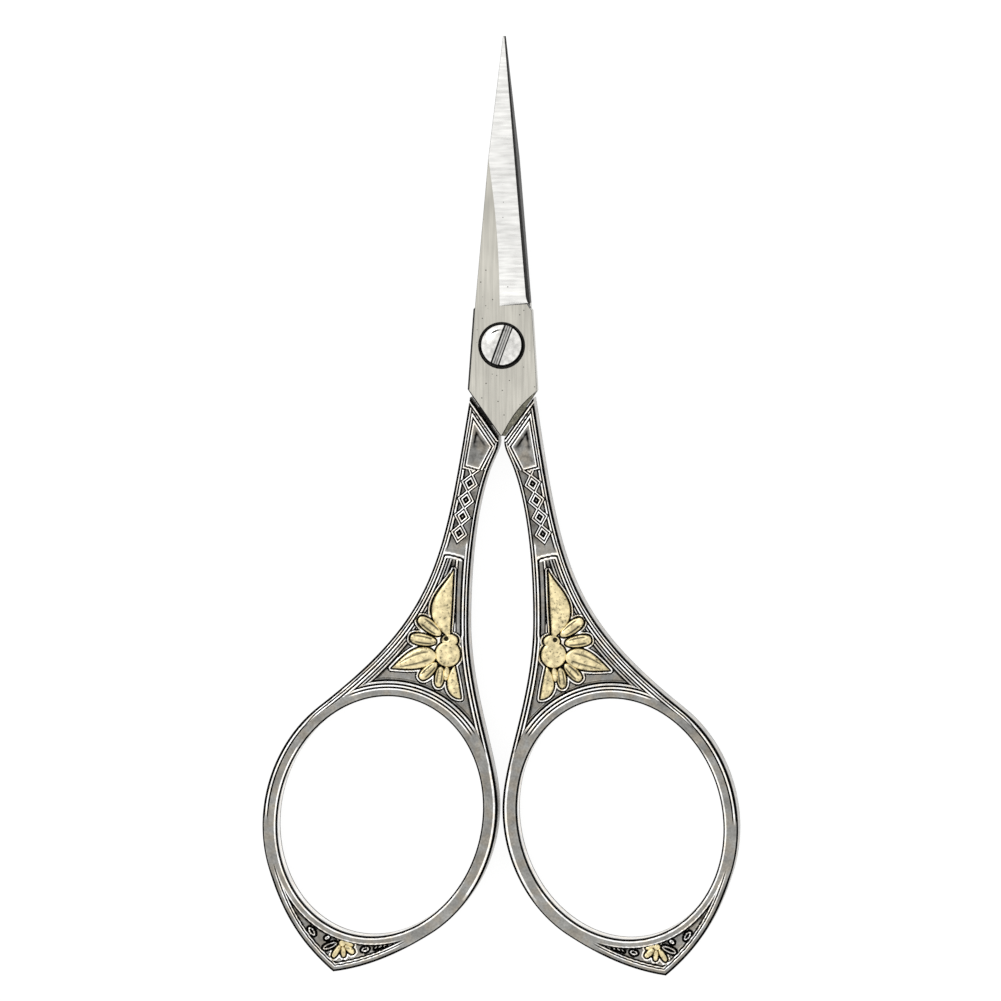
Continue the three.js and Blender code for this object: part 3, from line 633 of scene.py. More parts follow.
FRAME_TOP = ((-0.42, -0.2, 0, 0.2, 0.38), (0, 0.8, -1, 0.9, 0))
HOLE_EDGE = ((0, 0.14, 0.25, 0.32, 0.42), (-1, -1, 1, 0.9, 0.03))
RING_OUTER_EDGE = ((0, 0.22, 0.36, 0.44, 0.58, 0.72), (-1, -1, 1, 1, -1, 0.03))
RING_LOW_EDGE = ((0, 0.1, 0.24, 0.4, 0.6), (-1, -1, 0.12, 0.06, 0.03))
RING_INNER_EDGE = ((0, 0.19, 0.34, 0.44, 0.58), (-1, -1, 1, 1, 0.03))
SPUR_EDGE = ((0, 0.18, 0.3, 0.5, 0.62, 0.76, 0.9, 1.06, 1.2), (-1, -1, 0, 0, 0.7, -1, 0.9, -1, 0))
SPUR_TOP = ((0.45, 0.8, 0.92, 1.07, 1.22), (0.05, 0.05, 0.5, -1, 0))
MOAT = ((0, 0.07, 0.25, 0.42, 0.54), (-1, -1, 1, -1, 0))
SEED = ((-0.3, -0.17, -0.03, 0.08, 0.2), (-0.9, 0.9, -1, -1, 0))
KITE = np.array([(3.31, -9.67), (4.15, -14.6), (2.79, -14.97), (1.45, -12.38)])
CROSSBAR = -15.3
LOZENGE_TOP = 14.84
LOZENGE_PITCH = 2.04
LOZENGE_COUNT = 5  # the first is hidden but for its point, which links the chain to the kite
LOZENGE_HALF = (0.92, 1.14)
LOZENGE_LIMIT = 1.3  # where a lozenge's lines end, counted in its half sizes
FRAME_OUTER_CORNER = np.array([6.69, -25.65])
FRAME_INNER_CORNER = np.array([4.40, -26.18])
PETAL_STEPS = 28

# How wide the borders of the panels are, and the squared frame at the top of the fan
OUTER_BORDER = 1.97
INNER_BORDER = 1.95
INNER_NARROWING = 0.85  # how much narrower the inner border is low down
RING_BORDER = 2.22
SPUR_BORDERS = (1.15, 1.15, 1.2)
FRAME_INSETS = (0.78, 0.92)
FRAME_ROUNDING = 0.35
FRAME_OUTSET = 0.09  # makes up for the rounding, which pulls the frame's lines in

# How deep the panels are sunk, and the other heights of the relief
KITE_DEPTH = 0.08
NECK_DEPTH = 0.1
FAN_DEPTH = 0.3
MOAT_DEPTH = 0.32
SPUR_DEPTH = 0.22
SEED_RISE = 0.15  # how far the seeds stand up in the spur's panel
RIDGE_HEIGHT = 0.16  # from a groove's bottom to a ridge's top
EDGE_ROUNDING = 0.16

# The heights between which the parts of the face give way to each other
KITE_DARKENS = (-13, -11.6)
NECK_FOOT = -25.3
FAN_TOP = -23.7
FAN_COMES = (23.8, 25.2)  # as drops below the pivot, like the next
INNER_NARROWS = (35.0, 36.2)

# The same round the ring, in degrees from its outer side over its top: where each part comes in,
# and where it goes out
FAN_BEARINGS = (20, 185)
OPEN_FAN = ((55, 66), (120, 131))
FAN_ON_RING = ((26, 46), (140, 156))
SPUR_ON_RING = ((238, 252), (314, 328))
UNLIT_HOLE_RIDGE = ((10, 28), (198, 216))  # where the ridge round the hole is dimmed and lowered; elsewhere its brightness is a painted highlight
OUTER_LINES_END = (4, 16)  # these are below the outer side
INNER_LINES_END = (192, 210)


class Petal:
    """A petal from its root to its tip. Its half width at a share s of its length is
    s^root_power * (1 - s)^tip_power, scaled to the given width, and its middle line is pushed
    sideways by `bulge` half widths, so that -1 or 1 leaves one side straight. A vein is a pair of
    lines cut along it: their distance from the middle and their width, in half widths."""

    def __init__(self, root, tip, width, root_power, tip_power, bulge=0.0, vein=None):
        self.root, self.tip = np.array(root), np.array(tip)
        self.width, self.powers, self.bulge = width, (root_power, tip_power), bulge
        self.vein = vein

    def half_width(self, share):
        """Half the width at shares of the length."""
        a, b = self.powers
        peak = a / (a + b)
        share = np.clip(share, 0, 1)
        return self.width / 2 * share**a * (1 - share) ** b / (peak**a * (1 - peak) ** b)

    def surface(self, share, side):
        """The plane points at shares of the length and at sides from -1 to 1 across it."""
        along = self.tip - self.root
        across = rotated(unit(along), np.pi / 2)
        offset = (self.bulge + side) * self.half_width(share)
        return self.root + along * share[..., None] + across * offset[..., None]

    def outline(self):
        """The closed outline, anticlockwise."""
        share = 0.5 - 0.5 * np.cos(np.linspace(0, np.pi, PETAL_STEPS + 1))
        right = self.surface(share, np.full_like(share, -1))
        left = self.surface(share[::-1], np.full_like(share, 1))
        return np.concatenate([right, left[1:]])


def round_petal(centre, width, length, turn=0.0):
    """An ellipse as a petal, for discs and seeds."""
    reach = rotated((0, length / 2), turn)
    return Petal(np.array(centre) - reach, np.array(centre) + reach, width, 0.5, 0.5)


DISC = round_petal((6.48, -37.85), 3.15, 3.15)
BUD = round_petal((6.25, -36.15), 2.1, 1.5)
BUD_PIT = np.array([6.68, -35.96])
BUD_PIT_RADIUS = 0.36
FAN_PETALS = [
    Petal((6.25, -35.9), (5.8, -27.5), 2.55, 0.97, 1.4, -0.95),
    Petal((7.35, -35.5), (10.05, -33.45), 1.5, 0.45, 0.32, vein=(0.55, 0.2)),
    Petal((7.9, -36.4), (11.1, -35.85), 1.45, 0.45, 0.32, vein=(0.55, 0.2)),
    Petal((7.9, -38.0), (13.4, -39.65), 2.5, 0.55, 1.1, 0.2, vein=(0.45, 0.12)),
    Petal((7.85, -38.95), (9.85, -40.9), 1.3, 0.45, 0.35, vein=(0.5, 0.22)),
    Petal((7.3, -39.4), (7.65, -41.9), 1.15, 0.45, 0.4, vein=(0.5, 0.22)),
    Petal((6.55, -39.4), (6.75, -41.1), 0.75, 0.4, 0.5),
    Petal((5.6, -39.3), (4.88, -43.25), 1.45, 0.75, 0.55, 0.9),
    BUD,
    DISC,
]
SPUR_PETALS = [
    Petal((19.6, -73.73), (20.5, -75.25), 0.72, 0.4, 0.35),
    Petal((19.25, -73.85), (19.15, -75.2), 0.66, 0.4, 0.35),
    Petal((18.97, -73.73), (17.9, -74.75), 0.8, 0.4, 0.35),
    Petal((19.12, -73.3), (17.95, -73.75), 0.6, 0.4, 0.35),
    round_petal((19.32, -73.5), 0.95, 0.8),
]
SPUR_SEEDS = [
    Petal((19.9, -73.42), (21.75, -74.2), 0.85, 0.4, 0.35),
    round_petal((23.07, -72.08), 0.8, 1.4, np.radians(144)),
    round_petal((21.17, -72.84), 0.6, 0.85, np.radians(60)),
    round_petal((16.5, -74.21), 0.75, 1.15, np.radians(75)),
    Petal((15.45, -74.2), (14.9, -73.75), 0.34, 0.5, 0.5),
    Petal((14.95, -74.1), (14.35, -73.6), 0.34, 0.5, 0.5),
    Petal((14.4, -73.95), (13.75, -73.5), 0.3, 0.5, 0.5),
    Petal((13.8, -73.8), (13.1, -73.4), 0.26, 0.5, 0.5),
]


def fluted(distance, profile):
    """The tone of nested lines at a distance from their edge: steep half cosine steps between the
    profile's levels, which hold before and after each step."""
    places, levels = (np.array(values, float) for values in profile)
    index = np.clip(np.searchsorted(places, distance) - 1, 0, len(places) - 2)
    share = (distance - places[index]) / (places[index + 1] - places[index])
    share = np.clip(LINE_STEEPNESS * (share - 0.5) + 0.5, 0, 1)
    return levels[index] + (levels[index + 1] - levels[index]) * (1 - np.cos(np.pi * share)) / 2


def distance_to(line, points):
    """Each point's distance to the nearest segment of a line."""
    nearest = np.full(len(points), np.inf)
    for start, end in zip(line[:-1], line[1:]):
        side = end - start
        offset = points - start
        share = np.clip(offset @ side / max(side @ side, 1e-12), 0, 1)
        nearest = np.minimum(nearest, np.hypot(*(offset - share[:, None] * side).T))
    return nearest


def outside_of(outline, points, reach):
    """The distance outside a closed outline, negative inside, worked out for points that come
    within a reach of its box. The inside is found by counting crossings of a level ray."""
    far = np.full(len(points), reach, float)
    low, high = outline.min(0) - reach, outline.max(0) + reach
    near = np.all((points > low) & (points < high), axis=1)
    if not near.any():
        return far
    chosen = points[near]
    closed = np.concatenate([outline, outline[:1]])
    crossed = np.zeros(len(chosen), bool)
    for (x0, y0), (x1, y1) in zip(closed[:-1], closed[1:]):
        spans = (y0 > chosen[:, 1]) != (y1 > chosen[:, 1])
        if y0 != y1:
            crossed ^= spans & (chosen[:, 0] < x0 + (chosen[:, 1] - y0) * (x1 - x0) / (y1 - y0))
    far[near] = distance_to(closed, chosen) * np.where(crossed, -1, 1)
    return far


def beyond_sides(corners, points):
    """How far points lie beyond the sides of a clockwise polygon, measured square to the sides, so
    that nested lines keep its sharp corners."""
    beyond = np.full(len(points), -np.inf)
    for corner, following in zip(corners, np.roll(corners, -1, axis=0)):
        outwards = rotated(unit(following - corner), np.pi / 2)
        beyond = np.maximum(beyond, (points - corner) @ outwards)
    return beyond


def stem_middle(drop):
    """The middle of the stem at drops below the pivot."""
    sides = [np.interp(drop, -rail[:, 1], rail[:, 0]) for rail in (outer_rail, inner_rail)]
    return np.stack([(sides[0] + sides[1]) / 2, -np.asarray(drop, float)], -1)


def blended(first, second, share):
    """The first value at a share of 0, the second at 1."""
    return first * (1 - share) + second * share


def window(value, comes, goes):
    """1 between two smooth steps, 0 before the first and after the second."""
    return eased(value, *comes) * (1 - eased(value, *goes))


def of_nearest(inside, tones):
    """At each point, the tone of the border whose inner side is nearest."""
    return np.take_along_axis(np.stack(tones), inside.argmin(0)[None], 0)[0]


def outside_petals(petals, points, reach):
    """The distance outside the nearest of several petals, or the reach where none is near."""
    return np.min([outside_of(petal.outline(), points, reach) for petal in petals], axis=0)


def shoulder_tones(points, outer, inner, shoulder):
    """The kite and the lines between it and the silhouette."""
    beyond = beyond_sides(KITE, points)
    # A dark line just inside the kite's sides, darker towards the top
    kite_darkening = 0.15 * eased(points[:, 1], *KITE_DARKENS)
    tone = fluted(beyond, KITE_LINES) - kite_darkening * np.exp(-((beyond + 0.4) / 0.15) ** 2)
    lines = ((inner, NECK_INNER, 0.42), (outer, NECK_OUTER, 0.55), (shoulder, SHOULDER, 0.62))
    for distance, profile, reach in lines:
        tone = np.where(distance < reach, fluted(distance, profile), tone)
    return tone, KITE_DEPTH * eased(-beyond, -0.1, 0.1)


def neck_tones(points, outer, inner):
    """The border lines of the neck, and the linked lozenges: nested lines at equal values of
    |across| / half width + |along| / half length."""
    tone = fluted(outer, NECK_OUTER) + fluted(inner, NECK_INNER)
    nearest = np.full(len(points), 9.0)
    for number in range(LOZENGE_COUNT):
        drop = LOZENGE_TOP + LOZENGE_PITCH * number
        axis = unit(stem_middle(drop + 1) - stem_middle(drop - 1))
        offset = points - stem_middle(drop)
        across = offset @ rotated(axis, np.pi / 2)
        place = abs(across) / LOZENGE_HALF[0] + abs(offset @ axis) / LOZENGE_HALF[1]
        owned = place < np.minimum(LOZENGE_LIMIT, nearest)
        tone = np.where(owned, fluted(place, LOZENGE_LINES), tone)
        nearest = np.minimum(nearest, place)
    field = eased(outer, 0.8, 1.0) * eased(inner, 0.3, 0.5)
    beside = field * (nearest > LOZENGE_LIMIT) * (1 - eased(nearest, 1.7, 2.6))
    return tone - 0.08 * beside, NECK_DEPTH * field


def fan_tones(points, outer, inner, growth, bearing):
    """The fan panel: nested lines along the two rails and above the ring, the squared top frame,
    and a dark moat with a bright lip round each petal. The ring's own lines fade out where the
    rails close in on it."""
    low = eased(-points[:, 1], *INNER_NARROWS)
    inner_tone = blended(fluted(inner, INNER_FAN), fluted(inner, INNER_LOW), low)
    lower_tone = blended(LOWER_FAN[1][0], fluted(growth, LOWER_FAN), window(bearing, *OPEN_FAN))
    inner_border = INNER_BORDER - INNER_NARROWING * low
    inside = np.stack([outer - OUTER_BORDER, inner - inner_border, growth - RING_BORDER])
    tone = of_nearest(inside, [fluted(outer, OUTER_FAN), inner_tone, lower_tone])
    top_normal = rotated(unit(FRAME_OUTER_CORNER - FRAME_INNER_CORNER), -np.pi / 2)
    below = (points - FRAME_INNER_CORNER) @ top_normal
    framed = np.minimum(outer - FRAME_INSETS[0], inner - FRAME_INSETS[1])
    rounded = (framed + below - np.hypot(framed - below, FRAME_ROUNDING)) / 2 + FRAME_OUTSET
    on_frame = (framed > -0.1) & (below < FRAME_TOP[0][-1])
    tone = np.where(on_frame, fluted(rounded, FRAME_TOP), tone)
    tone = np.where((framed > 0) & (below < FRAME_TOP[0][0]), 0, tone)
    depth = FAN_DEPTH * eased(inside.min(0), -0.05, 0.15) * eased(below, 0.2, 1.2)
    apart = outside_petals(FAN_PETALS, points, 1.0)
    moated = (apart < 0.47) & (np.minimum(outer, inner) > 0.95) & (below > 0.3)
    depth = np.maximum(depth, MOAT_DEPTH * moated * eased(-apart, -0.3, -0.05))
    return np.where(moated, fluted(apart, MOAT), tone), depth


def spur_tones(points, outer, inner, growth):
    """The spur's panel: its border lines, the line under the ring, and a moat round each
    ornament."""
    inside = np.stack([outer, inner, growth]) - np.array(SPUR_BORDERS)[:, None]
    edges = [fluted(outer, SPUR_EDGE), fluted(inner, SPUR_EDGE), fluted(growth, SPUR_TOP)]
    tone = np.where(growth < 0.4, fluted(growth, HOLE_EDGE), of_nearest(inside, edges))
    apart = outside_petals(SPUR_PETALS, points, 0.8)
    seeds = outside_petals(SPUR_SEEDS, points, 0.8)
    clear = inside.min(0) > -0.1
    tone = np.where((apart < 0.36) & clear, fluted(apart, MOAT), tone)
    tone = np.where((seeds < 0.22) & clear & (apart > 0.15), fluted(seeds, SEED), tone)
    depth = SPUR_DEPTH * eased(inside.min(0), -0.05, 0.12)
    return tone, np.maximum(depth - SEED_RISE * eased(-seeds, -0.02, 0.12) * clear, 0)


def ring_tones(outer, inner, growth, bearing):
    """The finger ring's own lines: a thin one round the hole, painted bright as a highlight only on
    the lower side, and bright ones along the silhouette that end low on the ring. Returns the tone
    and the hole's."""
    hole = fluted(growth, HOLE_EDGE)
    hole = hole - 0.88 * window(bearing, *UNLIT_HOLE_RIDGE) * np.maximum(hole, 0)
    low = eased(-bearing, *OUTER_LINES_END)
    outer_tone = blended(fluted(outer, RING_OUTER_EDGE), fluted(outer, RING_LOW_EDGE), low)
    tone = np.where(outer < 0.76, outer_tone, hole)
    low = eased(bearing, *INNER_LINES_END)
    inner_tone = blended(fluted(inner, RING_INNER_EDGE), fluted(inner, RING_LOW_EDGE), low)
    return np.where(inner < 0.6, inner_tone, tone), hole


def face_relief(points):
    """The tone of a handle's face, how far it is sunk below the highest ridges and how far the
    edge is, at plane points. Each part of the face has its own lines, and neighbours blend."""
    turn, growth = oval_place(points)
    bearing = np.degrees(turn)
    y = points[:, 1]
    edges = (outer_edge, inner_edge, shoulder_edge)
    outer, inner, shoulder = (distance_to(line, points) for line in edges)
    on_ring = (growth < RING_BAND + 0.01) | (y < RING_CENTRE[1])
    tone, depth = np.zeros((2, len(points)))

    top = (y > CROSSBAR) & ~on_ring
    tone[top], depth[top] = shoulder_tones(points[top], outer[top], inner[top], shoulder[top])
    neck = (y <= CROSSBAR) & (y > NECK_FOOT) & ~on_ring
    tone[neck], depth[neck] = neck_tones(points[neck], outer[neck], inner[neck])

    fan = (y <= FAN_TOP) & (bearing > FAN_BEARINGS[0]) & (bearing < FAN_BEARINGS[1])
    places = (values[fan] for values in (points, outer, inner, growth, bearing))
    fan_tone, fan_depth = fan_tones(*places)
    share = eased(-y[fan], *FAN_COMES)
    tone[fan] = blended(tone[fan], fan_tone, share)
    depth[fan] = blended(depth[fan], fan_depth, share)

    places = [values[on_ring] for values in (outer, inner, growth)]
    plain, hole = ring_tones(*places, bearing[on_ring])
    spur_tone, spur_depth = spur_tones(points[on_ring], *places)
    fan_tone = np.where(growth[on_ring] < 0.6, hole, tone[on_ring])
    fan_share = window(bearing[on_ring], *FAN_ON_RING)
    spur_share = window(bearing[on_ring] % 360, *SPUR_ON_RING)
    plain = plain * (1 - fan_share - spur_share)
    tone[on_ring] = fan_tone * fan_share + spur_tone * spur_share + plain
    depth[on_ring] = depth[on_ring] * fan_share + spur_depth * spur_share
    return tone, depth, np.minimum.reduce([outer, inner, shoulder, np.maximum(growth, 0)])


def face_height(points):
    """The tone and height of a handle's front face: the relief under the thickness, with each
    edge of the casting rounded over by a quarter circle."""
    tone, depth, edge = face_relief(points)
    shortfall = np.clip(EDGE_ROUNDING - edge, 0, EDGE_ROUNDING)
    rounding = EDGE_ROUNDING - np.sqrt(EDGE_ROUNDING**2 - shortfall**2)
    return tone, THICKNESS - RIDGE_HEIGHT * (1 - tone) / 2 - depth - rounding


# Handle castings: their surfaces
# Each casting is drawn in three overlapping lengths of one metal: the ring with its spur, the fan
# below the stem, and the neck with the shoulder. Both faces carry the same relief.
WALL_STEPS = 10
# Painted light on the walls: the hole's wall is painted lighter than the outer walls as a painted
# reflection, and darker near its top and bottom edges as painted shade
WALL = ((0, 0.41, 0.49), (0.22, 0.22, -1))  # tones by distance from half way up, as a share
HOLE_WALL = ((0, 0.37, 0.43), (0.45, 0.45, -0.9))
SEAM = -24.8
BESIDE_RING = -36.0  # the height below which the rails run beside the ring
FAN_START = np.radians(50)  # the ring's own metal reaches the rails outside these turns
FAN_END = np.radians(146)
FAN_EASE = np.radians(6)
OVERLAP = 0.08  # how far the fan reaches under the ring's metal
OVERLAP_DIP = 0.6  # how far it dips there

# How many points each length has along it and across it
RING_COLUMNS, SPUR_COLUMNS, RING_ROWS = 330, 141, 62
FAN_COLUMNS, FAN_ROWS = 232, 178
SHOULDER_ROWS, NECK_ROWS, NECK_COLUMNS = 86, 150, 108


def two_faced(plane, dip=0.0, wraps=False):
    """A slab over a grid of plane points: the front face follows the relief, the back face is its
    reflection, and walls join their borders. Returns points, quads and tones."""
    flat = plane.reshape(-1, 2)
    tone, top = face_height(flat)
    top = top - np.broadcast_to(dip, plane.shape[:2]).ravel()
    index = np.arange(len(flat)).reshape(plane.shape[:2])
    if wraps:
        index = np.concatenate([index, index[:, :1]], axis=1)
        borders = [(index[0, :-1], HOLE_WALL), (index[-1, :0:-1], WALL)]
    else:
        sides = [index[0, :-1], index[:-1, -1], index[-1, :0:-1], index[:0:-1, 0]]
        borders = [(np.concatenate(sides), WALL)]
    corners = [index[:-1, :-1], index[:-1, 1:], index[1:, 1:], index[1:, :-1]]
    front = np.stack(corners, -1).reshape(-1, 4)
    points = [np.column_stack([flat, top]), np.column_stack([flat, THICKNESS - top])]
    quads = [front, front[:, ::-1] + len(flat)]
    tones = [tone, tone]
    start = 2 * len(flat)
    for border, profile in borders:
        levels = [border]
        for step in range(1, WALL_STEPS):
            share = step / WALL_STEPS
            height = blended(top[border], THICKNESS - top[border], share)
            points.append(np.column_stack([flat[border], height]))
            tones.append(np.full(len(border), fluted(abs(share - 0.5), profile)))
            levels.append(start + np.arange(len(border)))
            start += len(border)
        levels.append(border + len(flat))
        quads.append(wall_quads(np.array(levels[1:]), np.array(levels[:-1])))
    quads = np.concatenate(quads)
    a, b, c = flat[front[0, :3]]
    if np.cross(b - a, c - b) < 0:
        quads = quads[:, ::-1]
    return np.concatenate(points), quads, np.concatenate(tones)


def rail_growth(rail, turn):
    """How far outside the finger hole a rail runs at turns of the oval."""
    rail_turn, growth = oval_place(rail[rail[:, 1] < BESIDE_RING])
    order = np.argsort(rail_turn)
    return np.interp(turn, rail_turn[order], growth[order])


def ring_rim(turn):
    """The growth at which the ring's metal ends: the band's own width under the fan, and the
    rails' silhouette where they close in on the ring."""
    band = np.full_like(turn, RING_BAND)
    to_outer = rail_growth(outer_rail, turn)
    to_inner = rail_growth(inner_rail, turn)
    rim = np.where((turn > RAIL_TURN) & (turn < FAN_START + FAN_EASE), to_outer, band)
    rim = np.where((turn > FAN_END - FAN_EASE) & (turn < ring_inner_turn), to_inner, rim)
    comes, goes = (FAN_START, FAN_START + FAN_EASE), (FAN_END - FAN_EASE, FAN_END)
    return blended(rim, band, window(turn, comes, goes))


def crowded_ends(count, crowding):
    """Shares from 0 to 1 that crowd towards both ends: u - crowding * sin(2 pi u) / (2 pi)."""
    even = np.linspace(0, 1, count)
    return even - crowding * np.sin(2 * np.pi * even) / (2 * np.pi)


def crowded(count, places, weights):
    """Shares from 0 to 1 whose closeness follows weights given at places."""
    fine = np.linspace(0, 1, 2001)
    weight = np.interp(fine, places, weights)
    total = np.concatenate([[0], np.cumsum((weight[1:] + weight[:-1]) / 2)])
    return np.interp(np.linspace(0, 1, count), total / total[-1], fine)


def ring_and_spur():
    """The finger ring: columns run from the hole's oval out to the ring's rim, and round the spur
    out to its two sides. Rows crowd towards both edges."""
    around = np.linspace(SPUR_OUTER_TURN, SPUR_INNER_TURN, RING_COLUMNS)
    tip_turn = oval_place(spur_tip[None])[0][0] + 2 * np.pi
    under = np.linspace(0, 1, SPUR_COLUMNS)[1:]
    side = np.linspace(1, 0, SPUR_COLUMNS)[1:-1]
    hole_turn = np.concatenate([
        around,
        SPUR_INNER_TURN + (tip_turn - SPUR_INNER_TURN) * under,
        SPUR_OUTER_TURN + 2 * np.pi + (tip_turn - SPUR_OUTER_TURN - 2 * np.pi) * side,
    ])
    outer = np.concatenate([
        oval(around, ring_rim(around)),
        spaced(spur_under, under),
        spaced(spur_side, side),
    ])
    hole = oval(hole_turn, 0.0)
    across = crowded_ends(RING_ROWS, 0.6)[:, None, None]
    return two_faced(hole + (outer - hole) * across, wraps=True)


def stretch_of(rail, top, foot):
    """The stretch of a rail from one height down to another."""
    line = spaced(rail, np.linspace(0, 1, 1500))
    kept = line[(line[:, 1] < top) & (line[:, 1] > foot)]
    first, last = ([[np.interp(-y, -line[:, 1], line[:, 0]), y]] for y in (top, foot))
    return np.concatenate([first, kept, last])


def spanned(left, right, top, bottom, u, v):
    """A surface stretched between four border curves: the two rulings added, less the bilinear
    surface of the corners."""
    u, v = u[None, :, None], v[:, None, None]
    upper = blended(top[0], top[-1], u)
    lower = blended(bottom[0], bottom[-1], u)
    return blended(left[:, None], right[:, None], u) + blended(top - upper, bottom - lower, v)


def fan():
    """The fan between the rails and the ring. Its foot dips under the ring's metal."""
    turns = FAN_START + (FAN_END - FAN_START) * crowded(
        FAN_COLUMNS, [0, 0.06, 0.12, 0.75, 0.9, 1], [0.8, 0.8, 1.2, 1.2, 0.8, 0.8]
    )
    u = np.linspace(0, 1, len(turns))
    overlap = OVERLAP * np.clip(np.minimum(u, 1 - u) / 0.03, 0, 1)
    rim = ring_rim(turns)
    bottom = oval(turns, rim - overlap)
    ends = [oval(turn, ring_rim(np.array([turn])))[0] for turn in (FAN_START, FAN_END)]
    v = crowded(FAN_ROWS, [0, 0.7, 0.9, 1], [1, 1, 1.2, 2])
    left = spaced(stretch_of(outer_rail, SEAM, ends[0][1]), v)
    right = spaced(stretch_of(inner_rail, SEAM, ends[1][1]), v)
    top = left[0] + (right[0] - left[0]) * u[:, None]
    plane = spanned(left, right, top, bottom, u, v)
    dip = np.zeros(plane.shape[:2])
    dip[-1] = OVERLAP_DIP * overlap / OVERLAP
    return two_faced(plane, dip)


def neck():
    """The neck and the shoulder: rows swing from the slanted shoulder to the level crossbar, then
    run level down to the fan."""
    shoulder_rows = np.linspace(0, 1, SHOULDER_ROWS)[:-1]
    neck_rows = np.linspace(0, 1, NECK_ROWS)
    sides = []
    for rail, start in ((outer_rail, SHOULDER_TOP), (inner_rail, SHOULDER_FOOT)):
        upper = spaced(stretch_of(rail, start[1], CROSSBAR), shoulder_rows)
        lower = spaced(stretch_of(rail, CROSSBAR, SEAM), neck_rows)
        sides.append(np.concatenate([upper, lower]))
    across = crowded_ends(NECK_COLUMNS, 0.3)[None, :, None]
    return two_faced(sides[0][:, None] + (sides[1] - sides[0])[:, None] * across)


def antiqued_metal():
    """Nickel plate coloured by the tone attribute: black in the grooves, grey satin on the ground
    and bright on the rubbed ridges, with soft brown and grey clouds and a fine cast grain."""
    material, tree, shader = new_material("antiqued_casting")
    tone = tone_of(tree)
    tarnish = ranged(tree, grain(tree, (1500, 1500, 1500), 4.0), -0.035, 0.03)
    level = ranged(tree, tone, 0.0, 1.0, -1.0, 1.0)
    place = combined(tree, level, tarnish, "ADD")
    metal = add_node(tree, "ShaderNodeValToRGB", "Color", {"Fac": place})
    stops = [
        (0.39, (0.002, 0.002, 0.002)),
        (0.435, (0.12, 0.118, 0.112)),
        (0.475, (0.24, 0.237, 0.225)),
        (0.56, (0.30, 0.298, 0.284)),
        (0.74, (0.95, 0.945, 0.93)),
    ]
    elements = metal.node.color_ramp.elements
    for place, _ in stops[1:-1]:
        elements.new(place)
    for element, (place, colour) in zip(elements, stops):
        element.position = place
        element.color = (*colour, 1)
    brown = ranged(tree, grain(tree, (700, 700, 700)), 0.0, 1.0, 0.42, 0.62)
    clouds = ranged(tree, grain(tree, (420, 420, 420), 4.0), 0.78, 1.2)
    speckle = grain(tree, (3800, 3800, 3800))
    holes = ranged(tree, specks(tree, 900, 0.09, 0.14), 0.2, 1.0, 0.0, 1.0)
    factor = combined(tree, clouds, ranged(tree, speckle, 0.84, 1.14))
    warmed = tinted(tree, metal, (1.05, 0.98, 0.89, 1), brown)
    feed(tree, shader.inputs, {
        "Base Color": tinted(tree, warmed, combined(tree, factor, holes)),
        "Roughness": ranged(tree, tone, 0.55, 0.3, -1.0, 0.8),
        "Normal": bumps(tree, speckle, 0.008),
    })
    return material


casting = antiqued_metal()
LENGTHS = (("ring", ring_and_spur()), ("fan", fan()), ("neck", neck()))

for half, body, is_back in HALVES:
    for part, (points, quads, tones) in LENGTHS:
        name = f"{half}_handle_{part}"
        points_here = turned_over(points) if is_back else points
        mesh = joined_mesh(name, [(points_here, quads)], [tones], crease=60)
        add_piece(name, mesh, casting, body, f"{half}_handle")

# Gilding
# The petals stand up from the panels as low domes of the casting's own metal and are washed with
# pale gold, worn and pitted. Fine lines are cut along each petal.
PETAL_SINK = 0.42  # how far below the satin ground a petal starts to rise
PETAL_FLOOR = THICKNESS - RIDGE_HEIGHT / 2 - PETAL_SINK
PETAL_RISE = 0.36
PETAL_FOOT = 0.25  # how far a petal goes on below its floor, into the casting
PETAL_ROWS = 34
PETAL_COLUMNS = 23
CUT_DEPTH = 0.05
VEIN_ENDS = ((0.12, 0.2), (0.75, 0.88))  # shares of the length where veins start and stop
GOLD = (0.69, 0.59, 0.35, 1)


